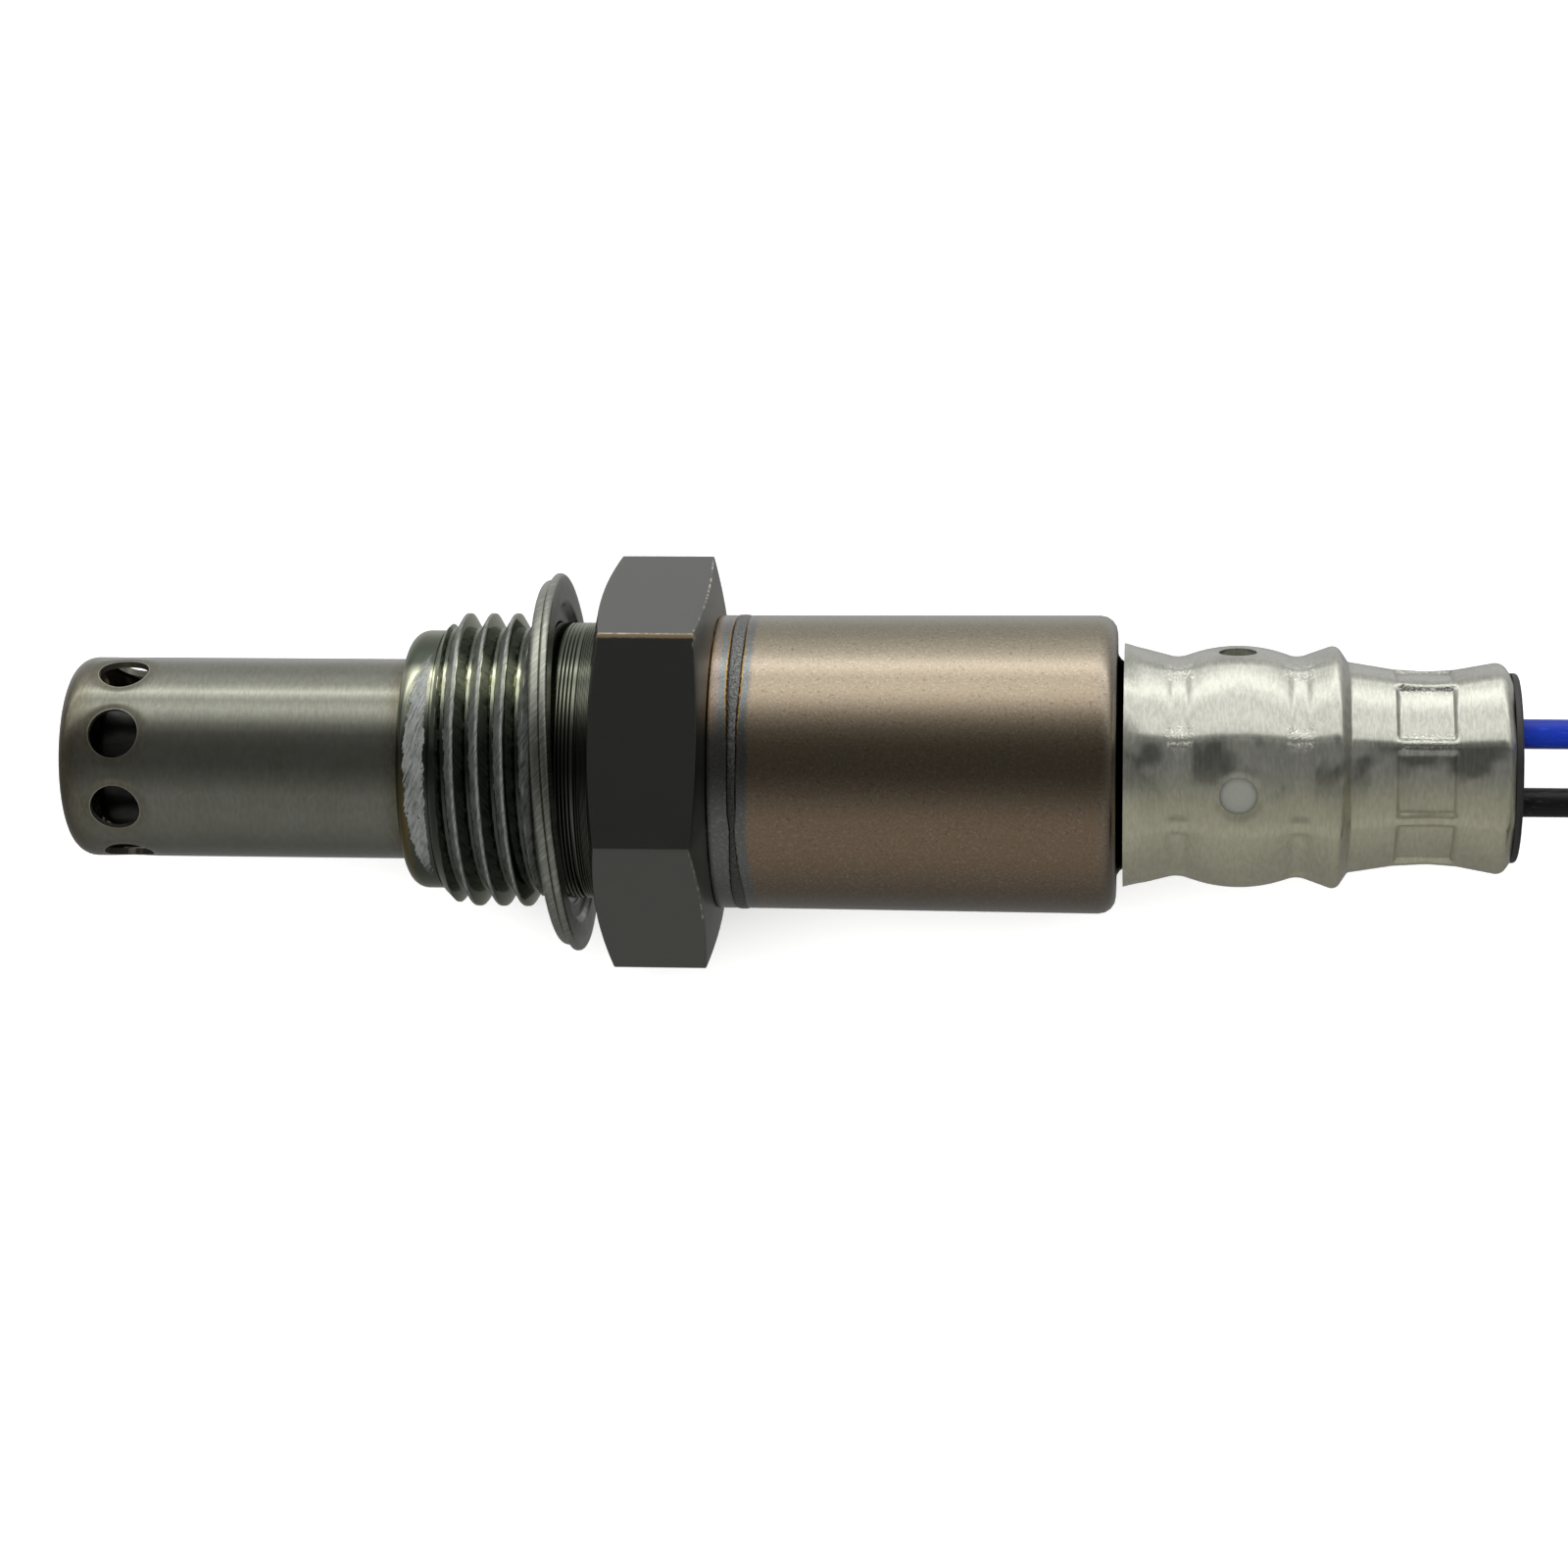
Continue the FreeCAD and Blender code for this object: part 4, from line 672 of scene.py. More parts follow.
def thread_radius(along, angle):
    """The helical thread between the chamfers of its two ends."""
    phase = ((along - THREAD_CREST_X) / THREAD_PITCH + (angle - THREAD_CREST_TURN) / 360) % 1.0
    from_crest = np.abs(phase - np.round(phase)) * THREAD_PITCH
    drop = np.clip(from_crest - CREST_FLAT / 2, 0, None) / math.tan(math.radians(30))
    cut = np.maximum(THREAD_RADIUS - np.hypot(drop, CREST_ROUNDING) + CREST_ROUNDING, THREAD_ROOT)
    chamfer = THREAD_CHAMFER_RADIUS + np.minimum(along - THREAD_START, -along)
    return np.minimum(cut, chamfer)


def neck_radius(along):
    """Fine turning lines in the neck, and the turning tool's radius at the hexagon."""
    radius = np.full_like(along, NECK_RADIUS)
    for start in GROOVE_STARTS:
        radius -= GROOVE_DEPTH * np.exp(-((along - start) / (GROOVE_WIDTH / 2)) ** 2)
    into = np.clip(along - (HEX_FRONT - NECK_FILLET), 0, NECK_FILLET)
    return radius + NECK_FILLET - np.sqrt(NECK_FILLET ** 2 - into ** 2)


hex_turns = np.concatenate([np.arange(-30, 30, 1.5), [-29.7, -29.35, -29.0, 29.0, 29.35, 29.7]])
shell_turns = np.concatenate([HEX_TURN + 60 * side + hex_turns for side in range(6)])
shell_turns = np.unique(np.round(shell_turns % 360, 4))


def shell_grid():
    """Rings of points from the front face back over thread, neck, hexagon and spigot, then the bore."""
    turns = shell_turns
    ones = np.ones_like(turns)
    rings = []

    def ring(along, out):
        rings.append((along * ones, out * ones))

    ring(shell_front, SHELL_BORE)
    for angle in np.radians(np.linspace(0, 90, 9)):
        ring(shell_front + LEAD_CORNER * (1 - math.cos(angle)),
             LEAD_RADIUS - LEAD_CORNER * (1 - math.sin(angle)))
    groove = THREAD_START - LEAD_GROOVE_WIDTH
    for along in np.arange(shell_front + LEAD_CORNER + 0.15, groove - 0.05, 0.15):
        ring(along, LEAD_RADIUS)
    for share in np.linspace(0, 1, 6):
        ring(groove + LEAD_GROOVE_WIDTH * share,
             LEAD_RADIUS - LEAD_GROOVE_DEPTH * math.sin(math.pi * share) ** 0.5)
    for along in np.arange(THREAD_START + 0.02, -0.001, 0.04):
        ring(along, thread_radius(along * ones, turns))
    ring(0, np.minimum(thread_radius(0 * ones, turns), NECK_RADIUS))
    for along in np.arange(0.2, 1.4, 0.2):
        ring(along, NECK_RADIUS)
    for along in np.append(np.arange(1.5, HEX_FRONT, 0.024), HEX_FRONT):
        ring(along, neck_radius(along * ones))
    flat = hexagon_radius(turns)
    face = np.minimum(flat, HEX_FACE_RADIUS)
    slope = (HEX_CORNER_RADIUS - HEX_FACE_RADIUS) / HEX_CHAMFER_LENGTH
    front = HEX_FRONT + np.clip(flat - HEX_FACE_RADIUS, 0, None) / slope
    rear = HEX_REAR + (HEX_CORNER_RADIUS - flat) / CONE_FALL
    foot = NECK_RADIUS + NECK_FILLET
    for share in np.linspace(0.1, 0.96, 6):
        ring(HEX_FRONT, foot + (face - foot) * share)
    hexagon = [
        (HEX_FRONT + 0 * front, face - HEX_EDGE_ROUNDING),
        (front, flat),
        (rear, flat),
        (SHOULDER_X * ones, SHOULDER_RADIUS * ones),
    ]
    for number in (1, 2):
        before, at, after = (np.stack(hexagon[number + shift], -1) for shift in (-1, 0, 1))
        back = at + (before - at) / np.linalg.norm(before - at, axis=1)[:, None] * HEX_EDGE_ROUNDING
        ahead = at + (after - at) / np.linalg.norm(after - at, axis=1)[:, None] * HEX_EDGE_ROUNDING
        for share in (0, 0.25, 0.5, 0.75, 1):
            point = back * (1 - share) ** 2 + 2 * at * share * (1 - share) + ahead * share ** 2
            ring(point[:, 0], point[:, 1])
        if number == 1:
            length = rear - front - 2 * HEX_EDGE_ROUNDING
            for share in np.linspace(0.08, 0.92, 12):
                ring(front + HEX_EDGE_ROUNDING + length * share, flat)
    for share in (0.3, 0.6, 0.9):
        ring(rear + (SHOULDER_X - rear) * share, flat + (SHOULDER_RADIUS - flat) * share)
    spigot_rear = ends("threaded_shell")[1]
    for along, out in (
        (SHOULDER_X, SHOULDER_RADIUS), (SHOULDER_X, SPIGOT_RADIUS), (spigot_rear, SPIGOT_RADIUS),
        (spigot_rear, LIP_RADIUS), (LIP_FRONT, LIP_RADIUS), (LIP_FRONT, STACK_RADIUS),
        (STACK_SEAT, STACK_RADIUS), (GAS_BORE_REAR, GAS_BORE_RADIUS), (COVER_SEAT, GAS_BORE_RADIUS),
        (COVER_SEAT, SHELL_BORE),
    ):
        ring(along, out)
    return np.array([r[0] for r in rings]), np.array([r[1] for r in rings])


shell_along, shell_out = shell_grid()
shell = turned_piece("shell", np.stack([shell_along[:, 0], shell_out[:, 0]], -1), shell_turns,
                     lambda along, out, angle: (shell_along, shell_out))
sharpened(shell, 28)

blued = Finish("shell_black_oxide", ior=1.84, specular_tint=(0.98, 1.0, 0.9, 1))
spin = blued.around()
shell_radius = blued.out()
on_hex = blued.step(blued.x, HEX_FRONT - 0.05, HEX_FRONT + 0.02)
on_thread = blued.band(blued.x, THREAD_START + 0.3, 0.0, 0.1)
fine = blued.noise(7.0, 3.0)
broad = blued.noise(0.5, 3.0)
patchy = blued.noise(2.2, 4.0, (1, 0.6, 0.6), 0.65)
lathe_lines = blued.noise(6.0, 2.0, (2.5, 0.12, 0.12))
nicks = blued.noise(3.5, 3.0)

# the crease towards the far side is rubbed brown, with a painted highlight on its worn upper edge, and the
# hexagon's rear edge has bright nicks
past_crease = (spin - WORN_CREASE_TURN) * shell_radius * math.radians(1) + (nicks - 0.5) * 0.12
on_crease = on_hex * blued.step(shell_radius, 12.0, 12.3)
rubbed = blued.band(past_crease, -0.19, 0.16, 0.06) * on_crease
# painted highlight: a bright line on the worn edge of the one crease that faces the lamps
crease_wear_highlight = blued.band(past_crease, 0.03, 0.15, 0.04) * on_crease
crease_wear_highlight = crease_wear_highlight * blued.step(nicks, 0.4, 0.6) * (0.4 + 0.6 * blued.step(broad, 0.4, 0.6))
cone_edge = HEX_REAR + (HEX_CORNER_RADIUS - shell_radius) / CONE_FALL
on_cone_edge = blued.band(cone_edge - blued.x, 0.015, 0.11, 0.02) * on_hex
nicked_part = blued.band(spin, 34, 92, 2) * 0.85 + blued.band(spin, -60, -26, 2) * 0.4
nicked = on_cone_edge * blued.step(nicks * 0.5 + patchy * 0.5, 0.48, 0.58) * nicked_part
stained = blued.step(blued.x, HEX_REAR + 0.1, HEX_REAR + 0.5) * blued.band(spin, 48, 95, 8)
# painted light: the hexagon's flats below the front one get a lighter oxide, standing in for the light they
# catch from the near side
lower_flats_painted_lighter = 1 - blued.step(spin, HEX_TURN - 32, HEX_TURN - 29)
# painted glints: the thread's and neck's oxide colours follow the angle from overhead, bright where the
# lamps would reflect
thread_oxide_glints = blued.ramp_by_turn(spin, THREAD_OXIDE_PAINTED_GLINTS)
neck_oxide_glints = blued.ramp_by_turn(spin, NECK_OXIDE_PAINTED_GLINTS)
oxide = blued.colour(blued.step(blued.x, 0.2, 0.3), thread_oxide_glints, neck_oxide_glints)
hex_oxide = blued.colour(lower_flats_painted_lighter, HEX_OXIDE, HEX_OXIDE_PAINTED_LIGHTER)
oxide = blued.colour(on_hex, oxide, hex_oxide)
oxide = blued.colour((rubbed + stained * 0.4).clamped(), oxide, WORN_BROWN)
oxide = blued.colour((crease_wear_highlight + nicked).clamped(), oxide, WORN_BRIGHT_AND_HIGHLIGHT)

# paste lies on the front flanks, and on top of the lead as a brushed smear
phase = (blued.x - THREAD_CREST_X) / THREAD_PITCH + (spin - THREAD_CREST_TURN) / 360
phase = (phase + (patchy - 0.5) * 0.1) % 1.0
front_flank = blued.band(phase, 0.56, 1.2, 0.04) + 1 - blued.step(phase, 0.01, 0.06)
fading = 1 - blued.step(abs(spin - 5), 62, 100) * 0.75
above_root = blued.step(shell_radius + (patchy - 0.5) * 0.5, 8.08, 8.22)
flank_paste = front_flank.clamped() * on_thread * above_root * fading
smear = blued.streaks(68, 9.0, 0.8, 4.0)
clotted = smear * 0.55 + patchy * 0.45
smear_front = shell_front + 0.62 + abs(spin + 5) * abs(spin + 5) * 0.00028
smear_edge = blued.x - smear_front + (clotted - 0.5) * 1.2
smear_rear = blued.x - (patchy - 0.5) * 0.5
lead_paste = blued.step(smear_edge, -0.05, 0.05)
lead_paste = lead_paste * (1 - blued.step(smear_rear, THREAD_START - 0.46, THREAD_START - 0.36))
lead_paste = lead_paste * (1 - blued.step(abs(spin + 5) + (clotted - 0.5) * 90, 46, 60))
lead_paste = lead_paste * (1 - blued.step(patchy, 0.66, 0.7))
gold = blued.band(blued.x + (patchy - 0.5) * 0.6, shell_front + 0.1, shell_front + 0.75, 0.15)
gold = gold * (1 - blued.step(spin, -25, 15)) * 0.7
paste = (flank_paste * 0.9 + lead_paste).clamped()
paste_tint = blued.colour(blued.step(clotted, 0.32, 0.62), PASTE_THIN, PASTE)
oxide = blued.colour(gold, oxide, GOLD_OXIDE)
blued.feed(
    base_color=blued.colour(paste, oxide, paste_tint),
    metallic=(1 - on_hex - paste * 0.5).clamped(),
    roughness=0.05 + on_hex * 0.23 + paste * 0.3 + fine * 0.03 + broad * 0.03)
blued.bump(
    (lathe_lines, 0.0006), (fine, 0.0005), (clotted * paste, 0.05), (nicks * on_cone_edge, 0.02))
blued.on(shell)
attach(shell, "root")
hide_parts("threaded_shell")

# Gasket ring.
# A sealing ring rolled and folded from sheet steel, loose on the neck. Its rim shows the two layers
# with a fold line between them, and its rear face steps down round the neck.
GASKET_X = 1.0
GASKET_Y = -0.12
GASKET_LEAN = 3.3
GASKET_RIM = 11.6
GASKET_FRONT_RIM = 11.15
GASKET_BORE = 8.65
GASKET_HALF = 0.6
GASKET_STEP_RADIUS = 9.8
GASKET_STEP_X = 0.2
GASKET_STEEL = (0.23, 0.235, 0.2)
GASKET_DULL = (0.13, 0.132, 0.115)
GASKET_BRIGHT = (0.5, 0.5, 0.44)

gasket = turned_piece("gasket", rounded_outline([
    (-GASKET_HALF, GASKET_BORE, 0.15),
    (-GASKET_HALF, GASKET_FRONT_RIM, 0.4),
    (0.03, GASKET_FRONT_RIM + 0.12, 0.12),
    (0.07, GASKET_FRONT_RIM + 0.04),
    (0.11, GASKET_RIM - 0.3, 0.05),
    (0.16, GASKET_RIM, 0.16),
    (GASKET_HALF, GASKET_RIM, 0.25),
    (GASKET_HALF, GASKET_STEP_RADIUS, 0.22),
    (GASKET_STEP_X, GASKET_STEP_RADIUS - 0.2, 0.15),
    (GASKET_STEP_X, GASKET_BORE, 0.1),
], 0.12), np.arange(0, 360, 1.5))
gasket_place = Matrix.Translation((GASKET_X * MM, GASKET_Y * MM, 0))
gasket.data.transform(gasket_place @ Matrix.Rotation(math.radians(GASKET_LEAN), 4, "Z"))
sharpened(gasket, 45)
pressed = Finish("gasket_steel", metallic=1.0)
brushed = pressed.streaks(48, 7.0, 0.9)
blotch = pressed.noise(0.8, 3.0)
rubbed_rim = pressed.step(pressed.out(), 10.6, 11.1)
gasket_tint = pressed.colour(rubbed_rim, GASKET_DULL, GASKET_STEEL)
bright_marks = pressed.step(brushed, 0.45, 0.7) * 0.45
pressed.feed(
    base_color=pressed.colour(bright_marks, gasket_tint, GASKET_BRIGHT),
    roughness=0.18 + brushed * 0.14 + blotch * 0.1)
pressed.bump((brushed, 0.008), (pressed.noise(3.0, 2.0), 0.006))
pressed.on(gasket)
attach(gasket, "root")
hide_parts("gasket_ring")

# Main cover.
# A drawn steel barrel, laser-welded to the shell behind the hexagon and blasted to a fine brown
# satin. The weld is a grey rough bead between straw and blue heat bands. Its narrow neck runs back
# inside the vent cover.
BARREL_FRONT_RADIUS = 8.95
BARREL_REAR_RADIUS = 9.06
BARREL_WALL = 0.55
BARREL_CORNER = 1.05
NECK_TUBE_RADIUS = 5.5
NECK_TUBE_WALL = 0.45
NECK_TUBE_LENGTH = 13.7
COLLAR_RADIUS = 6.2
COLLAR_FILLET = 0.75
COLLAR_LENGTH = 1.3
WELD_X = 12.13
WELD_HEIGHT = 0.05
WELD_REACH = 0.8
# half the bead's width, by degrees from overhead: narrower on top, pinched where its ends overlap
WELD_HALF_WIDTHS = [
    (-180, 0.36), (-60, 0.36), (-28, 0.13), (-20, 0.24), (14, 0.26), (30, 0.38), (180, 0.38)]
# the blasted steel's tint, by degrees from overhead, partly painted shade: olive far side, brown near side,
# deeper where the lamps reach less
BARREL_TINTS_PAINTED_SHADE = [
    (-180, (0.19, 0.16, 0.12)), (-72, (0.19, 0.158, 0.12)), (-60, (0.175, 0.133, 0.093)),
    (-42, (0.215, 0.152, 0.098)), (-28, (0.25, 0.172, 0.11)), (-6, (0.24, 0.185, 0.125)),
    (12, (0.28, 0.22, 0.15)), (30, (0.28, 0.226, 0.165)), (42, (0.255, 0.216, 0.163)),
    (65, (0.225, 0.202, 0.144)), (80, (0.215, 0.20, 0.145)), (180, (0.19, 0.16, 0.12)),
]
BARREL_STEEL = (0.26, 0.215, 0.162)
BARREL_OLIVE = (0.2, 0.185, 0.15)
BARREL_SPARKLE = (0.5, 0.46, 0.4)
BARREL_PIT = (0.08, 0.062, 0.045)
BARREL_SHADE = (0.012, 0.011, 0.01)
WELD_GREY = (0.2, 0.205, 0.195)
WELD_DARK = (0.05, 0.05, 0.046)
WELD_EDGE = (0.02, 0.012, 0.006)
WELD_EDGE_PAINTED_NEAR = (0.075, 0.066, 0.05)
STRAW = (0.3, 0.165, 0.03)
BLUE_GREY = (0.14, 0.155, 0.15)
BLUE_GREY_PAINTED_NEAR = (0.143, 0.149, 0.141)
COPPER = (0.3, 0.22, 0.13)
PINK = (0.2, 0.165, 0.142)


def weld_shape(along, out, angle):
    """A rippled bead stands on the barrel's surface, with a fine undercut at each side."""
    outside = out > BARREL_FRONT_RADIUS - 0.3
    turn = (angle + 180) % 360 - 180
    half = np.interp(turn, *zip(*WELD_HALF_WIDTHS))
    off = (along - WELD_X - 0.04 * np.sin(np.radians(angle * 3))) / half
    bead = np.clip(1 - off ** 2, 0, None) ** 0.6
    ripple = 0.8 + 0.2 * np.sin(np.radians(angle) * 90 + off * 1.5)
    undercut = np.exp(-((np.abs(off) - 1.08) / 0.14) ** 2)
    lift = WELD_HEIGHT * bead * ripple - 0.03 * undercut
    near = np.abs(along - WELD_X) < WELD_REACH + 0.2
    return along, out + np.where(outside & near, lift, 0)


barrel_front, barrel_neck_rear = ends("main_cover")
barrel_rear = barrel_neck_rear - NECK_TUBE_LENGTH
barrel_outline = rounded_outline([
    (barrel_front, BARREL_FRONT_RADIUS - BARREL_WALL),
    (barrel_front, BARREL_FRONT_RADIUS, 0.08),
    (WELD_X - WELD_REACH, BARREL_FRONT_RADIUS),
    (WELD_X + WELD_REACH, BARREL_FRONT_RADIUS),
    (barrel_rear, BARREL_REAR_RADIUS, BARREL_CORNER),
    (barrel_rear, COLLAR_RADIUS, COLLAR_FILLET),
    (barrel_rear + COLLAR_LENGTH, COLLAR_RADIUS),
    (barrel_rear + COLLAR_LENGTH + 0.4, NECK_TUBE_RADIUS),
    (barrel_neck_rear, NECK_TUBE_RADIUS),
    (barrel_neck_rear, NECK_TUBE_RADIUS - NECK_TUBE_WALL),
    (barrel_rear - BARREL_WALL, NECK_TUBE_RADIUS - NECK_TUBE_WALL),
    (barrel_rear - BARREL_WALL, BARREL_REAR_RADIUS - BARREL_WALL, BARREL_CORNER - BARREL_WALL),
], 0.6)
at_weld = (np.abs(barrel_outline[:, 0] - WELD_X) < WELD_REACH + 0.01) & \
    (barrel_outline[:, 1] > BARREL_FRONT_RADIUS - 0.1)
first = np.argmax(at_weld)
last = len(at_weld) - np.argmax(at_weld[::-1])
weld_rings = [(x, BARREL_FRONT_RADIUS) for x in WELD_X + np.arange(-WELD_REACH, WELD_REACH + 0.001, 0.04)]
barrel_outline = np.concatenate([barrel_outline[:first], weld_rings, barrel_outline[last:]])
barrel = turned_piece("barrel", barrel_outline, np.arange(0, 360, 1.0), weld_shape)
sharpened(barrel, 50)

blasted = Finish("barrel_blasted_steel", metallic=1.0)
blasting = blasted.noise(6.5, 2.0, rough=0.6)
pits = blasted.noise(5.0, 1.0)
dapple = blasted.noise(0.6, 3.0)
barrel_turn = blasted.around()
half_width = blasted.ramp_by_turn(barrel_turn, WELD_HALF_WIDTHS)
wander = (blasted.noise(0.5, 2.0, (0.1, 1, 1)) - 0.5) * 0.12
jitter = (blasted.noise(5.0, 2.0) - 0.5) * 0.1
weld_off = blasted.x - WELD_X + wander + jitter
# a band's place is half its distance beyond the bead's edge, in millimetres, plus 0.2
beyond = abs(weld_off) - half_width
band_place = beyond / 2 + 0.2
in_front = 1 - blasted.step(weld_off, -0.02, 0.02)
heat_bands = [
    (0.12, WELD_GREY), (0.175, WELD_GREY), (0.19, WELD_EDGE), (0.228, WELD_EDGE), (0.245, STRAW),
    (0.285, BLUE_GREY), (0.42, BLUE_GREY), (0.49, PINK)]
front_bands = blasted.ramp(band_place, heat_bands + [(0.62, PINK), (0.7, COPPER), (0.85, COPPER)])
rear_bands = blasted.ramp(band_place, heat_bands + [(0.6, BARREL_STEEL)])
# painted light: by angle from overhead, the near side gets its own lighter heat bands and a darker bead,
# set to the light that side gets
near_side_painted_bands = blasted.ramp(band_place, [
    (0.12, WELD_GREY), (0.18, WELD_GREY), (0.192, WELD_EDGE_PAINTED_NEAR), (0.215, WELD_EDGE_PAINTED_NEAR),
    (0.24, BLUE_GREY_PAINTED_NEAR), (0.7, BLUE_GREY_PAINTED_NEAR)])
weld_near_side_painted = 1 - blasted.step(barrel_turn + (dapple - 0.5) * 30, -4, 16)
front_bands = blasted.colour(weld_near_side_painted, front_bands, near_side_painted_bands)
rear_bands = blasted.colour(weld_near_side_painted, rear_bands, near_side_painted_bands)
near_weld = 1 - blasted.step(beyond * (1 - in_front) + (blasting - 0.5) * 0.2, 0.5, 0.85)
olive = blasted.step(blasted.x, barrel_rear - 1.5, barrel_rear - 0.3)
# painted shade: the satin's colour follows the angle from overhead
satin = blasted.ramp_by_turn(barrel_turn, BARREL_TINTS_PAINTED_SHADE)
satin = blasted.colour(dapple * 0.2 + olive * 0.4, satin, BARREL_OLIVE)
satin = blasted.colour(near_weld, satin, blasted.colour(in_front, rear_bands, front_bands))
sparkle = blasted.step(blasting, 0.5, 0.75)
pitted = blasted.step(pits, 0.62, 0.74) + (1 - blasted.step(blasting, 0.3, 0.45)) * 0.4
satin = blasted.colour(sparkle * 0.25, satin, BARREL_SPARKLE)
satin = blasted.colour(pitted.clamped() * 0.4, satin, BARREL_PIT)
shaded = 1 - blasted.band(blasted.x, barrel_front + 0.04, barrel_rear - 0.06, 0.04)
on_bead = 1 - blasted.step(beyond, -0.04, 0.0)
crust = blasted.noise(7.0, 4.0, rough=0.75)
bead_tint = blasted.colour(blasted.step(crust, 0.32, 0.68), WELD_DARK, WELD_GREY)
bead_tint = blasted.colour(weld_near_side_painted * 0.5, bead_tint, WELD_DARK)
satin = blasted.colour(on_bead, satin, bead_tint)
blasted.feed(
    base_color=blasted.colour(shaded, satin, BARREL_SHADE),
    roughness=0.19 + blasting * 0.08 + on_bead * 0.12)
blasted.bump((blasting, 0.003), (crust * on_bead, 0.05))
blasted.on(barrel)
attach(barrel, "root")
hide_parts("main_cover")

# Vent cover.
# A silver sleeve rolled from thin stainless, waisted twice over the breather, with four punched
# holes in the bulge between. Three rings of eight crimps, pressed by a tool, hold it.
VENT_WALL = 0.5
# the corners of its outline before rounding: along from its front edge, out, rounding
VENT_CORNERS = [
    (0.0, 7.4), (3.29, 6.57, 1.9), (6.9, 7.73, 8.6), (10.44, 6.595, 1.5), (12.75, 7.42, 0.55),
    (13.44, 6.36, 0.25), (16.1, 5.93), (18.2, 5.8, 6.0), (19.9, 5.92, 2.0), (22.6, 6.42, 0.7),
    (23.1, 5.7),
]
# the corners that stand out, by their number: the sheet's inside is rounded less there
VENT_EDGES = (2, 4, 9)
VENT_HOLE_X = 42.01
VENT_HOLE_DIAMETER = 2.28
VENT_HOLE_TURN = -15.1
VENT_HOLES = 4
CRIMPS = 8
CRIMP_TURN = 34.6
WAIST_CRIMPS = (38.5, 45.65)
WAIST_CRIMP_HALF = 0.55
WAIST_CRIMP_DEPTH = 0.08
WAIST_CRIMP_SPAN = 37.0
GRIP_CRIMP_X = (51.45, 54.83)
GRIP_CRIMP_RADIUS = 5.62
GRIP_CRIMP_SPAN = 38.0
# the crimping has drawn the wall towards eight flats: how far, from round 0 to flat 1
VENT_FLATNESS = 0.5
FLAT_EDGE_WEAR = 0.986
FLAT_MEAN = 0.949
VENT_STEEL = (0.295, 0.298, 0.256)
VENT_STEEL_PAINTED_NEAR = (0.385, 0.372, 0.262)
VENT_STEEL_PALE_AND_GLINT = (0.7, 0.7, 0.64)


def vent_corners(front, shift):
    """The cover's line, moved in by a shift."""
    line = []
    for number, (along, out, *rounding) in enumerate(VENT_CORNERS):
        if rounding:
            grown = rounding[0] + shift * (-0.8 if number in VENT_EDGES else 1)
            line.append((front + along, out - shift, max(0.05, grown)))
        else:
            line.append((front + along, out - shift))
    return line


def crimp_mask(along, angle, start, stop, span, soft):
    """1 inside the dents of one ring of crimps, with narrow walls."""
    off = off_nearest(angle, CRIMP_TURN, CRIMPS)
    sideways = 1 - smooth_step(np.abs(off), span / 2 - 2.0, span / 2 + 1.4)
    endways = smooth_step(along, start - soft / 2, start + soft / 2)
    return sideways * endways * (1 - smooth_step(along, stop - soft / 2, stop + soft / 2))


def flats(angle):
    """The share by which an eight-sided tube is wider than a round one, its edges worn."""
    off = off_nearest(angle, CRIMP_TURN, CRIMPS)
    side = math.cos(math.radians(180 / CRIMPS)) / np.cos(np.radians(off))
    return np.minimum(side, FLAT_EDGE_WEAR) - FLAT_MEAN


def vent_shape(along, out, angle):
    """The flats and dents of the crimping, and the wall drawn in round the punched holes."""
    lift = out * flats(angle) * VENT_FLATNESS * smooth_step(along, vent_front, vent_front + 1.5)
    for middle in WAIST_CRIMPS:
        start, stop = middle - WAIST_CRIMP_HALF, middle + WAIST_CRIMP_HALF
        lift -= crimp_mask(along, angle, start, stop, WAIST_CRIMP_SPAN, 0.4) * WAIST_CRIMP_DEPTH
    mask = crimp_mask(along, angle, *GRIP_CRIMP_X, GRIP_CRIMP_SPAN, 0.18)
    outside = out > 5.7
    lift += np.where(outside, np.minimum(GRIP_CRIMP_RADIUS - out, 0), -0.15) * mask
    distance = hole_distance(along, out, angle, VENT_HOLE_X, VENT_HOLE_TURN, VENT_HOLES)
    edge = VENT_HOLE_DIAMETER / 2
    lift -= 0.1 * (1 - smooth_step(distance, edge - 0.1, edge + 0.45))
    return along, out + lift


vent_front = ends("vent_cover")[0]
vent_outline = vent_corners(vent_front, 0) + vent_corners(vent_front, VENT_WALL)[::-1]
vent_cover = turned_piece(
    "vent_sleeve", rounded_outline(vent_outline, 0.16), np.arange(0, 360, 1.25), vent_shape)
drilled(vent_cover, VENT_HOLE_X, VENT_HOLE_DIAMETER, VENT_HOLE_TURN, VENT_HOLES)
sharpened(vent_cover, 40)

silver = Finish("vent_steel", metallic=1.0)
rolled = silver.noise(5.0, 3.0, (1.2, 0.35, 0.35), 0.65)
orange_peel = silver.noise(3.0, 3.0)
haze = silver.noise(0.35, 2.0)
# painted light: below the axis on the near side the silver is lighter and yellower, standing in for the
# light it catches there
vent_painted_near_side = 1 - silver.step(silver.around(), -22, 0)
first_waist, second_waist = (
    silver.band(silver.x, middle - 0.8, middle + 0.8, 0.2) for middle in WAIST_CRIMPS)
at_waists = first_waist + second_waist
at_grip = silver.band(silver.x, *GRIP_CRIMP_X, 0.1)
crimp_off = off_nearest(silver.around(), CRIMP_TURN, CRIMPS)
crimp_end = silver.band(abs(crimp_off), 14.5, 21.5, 1.0)
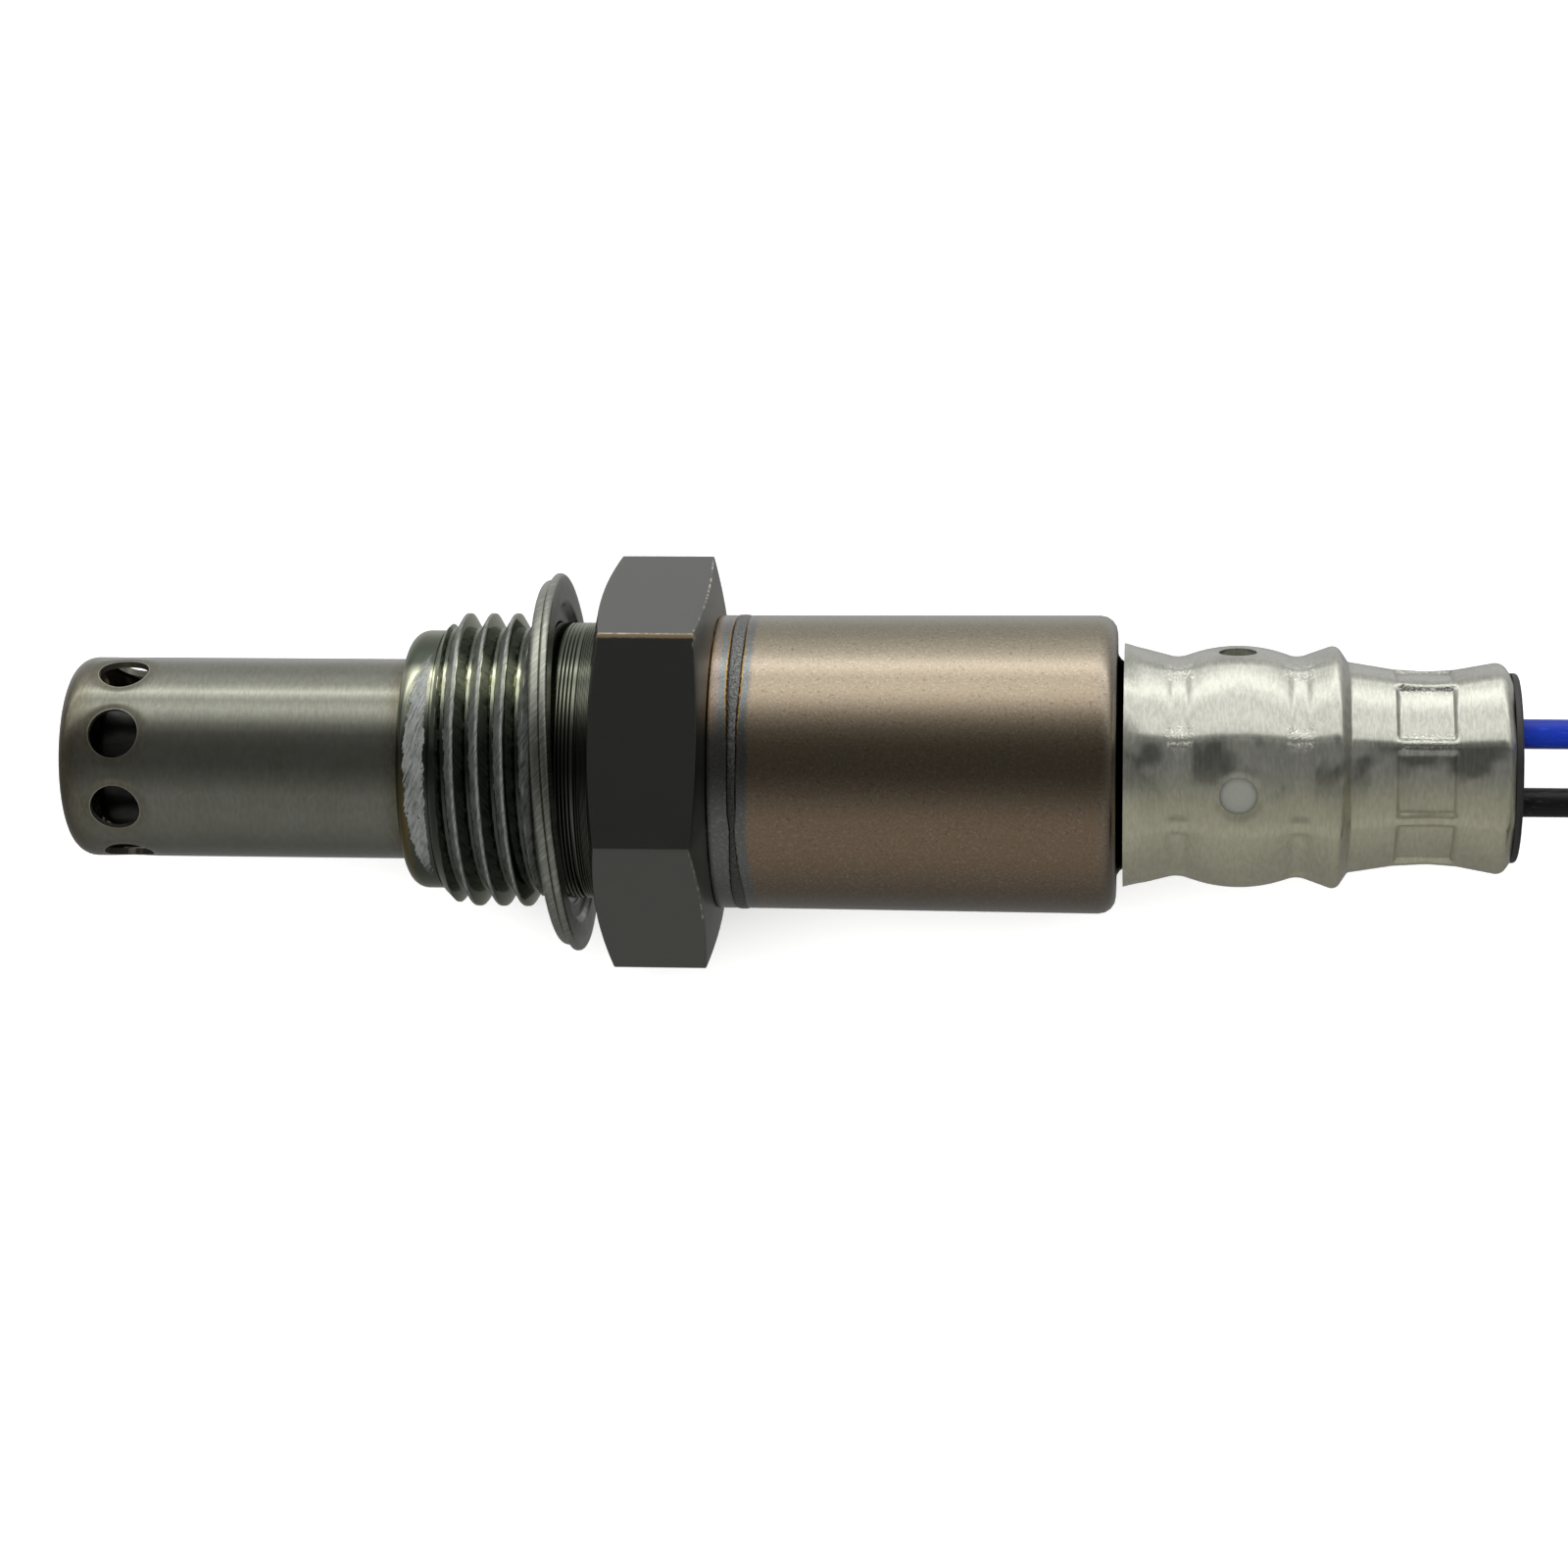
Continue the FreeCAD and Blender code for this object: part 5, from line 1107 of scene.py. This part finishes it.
# painted highlight: pale scrapes at the crimps' ends, kept only on the lit upper side, stand in for the
# lamps' glints there
lit_side = silver.step(silver.around(), 6, 12)
crimp_scrape_glints = (at_waists + at_grip * 0.6).clamped() * crimp_end * lit_side
crimp_scrape_glints = crimp_scrape_glints * silver.step(silver.noise(6.0, 3.0, rough=0.7), 0.45, 0.65)
vent_tint = silver.colour(vent_painted_near_side, VENT_STEEL, VENT_STEEL_PAINTED_NEAR)
vent_tint = silver.colour(silver.step(rolled, 0.35, 0.65) * 0.16, vent_tint, VENT_STEEL_PALE_AND_GLINT)
clear = silver.step(haze, 0.42, 0.6) * (1 - at_waists) * (1 - vent_painted_near_side * 0.8)
silver.feed(
    base_color=silver.colour(crimp_scrape_glints * 0.8, vent_tint, VENT_STEEL_PALE_AND_GLINT),
    metallic=0.8 + clear * 0.16,
    roughness=0.13 + rolled * 0.14)
silver.bump((rolled, 0.002), (orange_peel, 0.004), (orange_peel * crimp_scrape_glints, 0.03))
silver.on(vent_cover)
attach(vent_cover, "root")
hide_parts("vent_cover")

# Vent filter.
# A white porous sleeve round the neck of the main cover, seen through the vent holes. It lets air
# in and keeps water out.
FILTER_PORE = (0.162, 0.166, 0.146)
FILTER_WHITE = (0.19, 0.195, 0.17)

porous = Finish("filter_plastic", roughness=0.6)
pores = porous.noise(5.0, 3.0)
porous.feed(base_color=porous.colour(pores, FILTER_PORE, FILTER_WHITE))
porous.bump((pores, 0.02))
porous.on(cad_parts["vent_filter"])

# Grommet.
# Black moulded rubber with a bore for each lead, squeezed in the end of the vent cover. Only its
# rim and rear face show.
RUBBER_BLACK = (0.005, 0.005, 0.005)
RUBBER_DUSTY = (0.014, 0.014, 0.013)

moulded = Finish("grommet_rubber", roughness=0.5)
dust = moulded.noise(1.5, 4.0)
moulded.feed(
    base_color=moulded.colour(dust, RUBBER_BLACK, RUBBER_DUSTY),
    roughness=0.4 + dust * 0.25)
moulded.bump((moulded.noise(8.0, 2.0), 0.008))
moulded.on(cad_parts["grommet"])

# Inner parts.
# Ceramics, talc, springs and crimped tubes that hold the sensing strip and join it to the leads.
# They are closed in, so their finishes are simple.
INNER_FINISHES = {
    "white_ceramic": (["front_insulator", "spacer_sleeve", "rear_insulator"], (0.8, 0.77, 0.7), 0.0, 0.5),
    "grey_ceramic": (["sensing_element"], (0.55, 0.54, 0.5), 0.0, 0.45),
    "pressed_talc": (["talc_seal"], (0.62, 0.6, 0.55), 0.0, 0.8),
    "soft_metal": (["clamp_ring"], (0.6, 0.56, 0.45), 1.0, 0.35),
    "spring_steel": (["disc_spring"], (0.5, 0.48, 0.45), 1.0, 0.25),
    "contact_metal": ([f"contact_spring_{n}" for n in (1, 2, 3, 4)], (0.7, 0.66, 0.5), 1.0, 0.2),
    "crimp_metal": ([f"crimp_sleeve_{n}" for n in (1, 2, 3, 4)], (0.62, 0.6, 0.58), 1.0, 0.25),
}
for name, (nodes, base, metallic, roughness) in INNER_FINISHES.items():
    finish = Finish(name, metallic=metallic)
    mottle = finish.noise(3.0, 3.0)
    darker = tuple(part * 0.8 for part in base)
    finish.feed(
        base_color=finish.colour(mottle, base, darker),
        roughness=roughness + mottle * 0.12)
    finish.bump((mottle, 0.01))
    finish.on(*(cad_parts[node] for node in nodes))

# Plug.
# A moulded dark grey plug with four pins in its open mouth, a keeper plate round them, a rubber
# wire seal and a cap with a boss for the sleeve.
PLUG_FINISHES = {
    "plug_plastic": (["plug_housing", "plug_cap"], (0.05, 0.052, 0.055), 0.0, 0.42),
    "keeper_plastic": (["pin_keeper"], (0.55, 0.1, 0.02), 0.0, 0.4),
    "pin_metal": ([f"plug_pin_{n}" for n in (1, 2, 3, 4)], (0.72, 0.68, 0.56), 1.0, 0.18),
    "seal_rubber": (["wire_seal"], (0.35, 0.06, 0.02), 0.0, 0.5),
}
for name, (nodes, base, metallic, roughness) in PLUG_FINISHES.items():
    finish = Finish(name, metallic=metallic)
    texture = finish.noise(7.0, 3.0)
    wear = finish.noise(0.8, 3.0)
    lighter = tuple(min(1, part * 1.35 + 0.004) for part in base)
    finish.feed(
        base_color=finish.colour(wear, base, lighter),
        roughness=roughness + texture * 0.1 - wear * 0.06)
    finish.bump((texture, 0.012))
    finish.on(*(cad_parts[node] for node in nodes))

bpy.context.scene.view_settings.view_transform = "Standard"
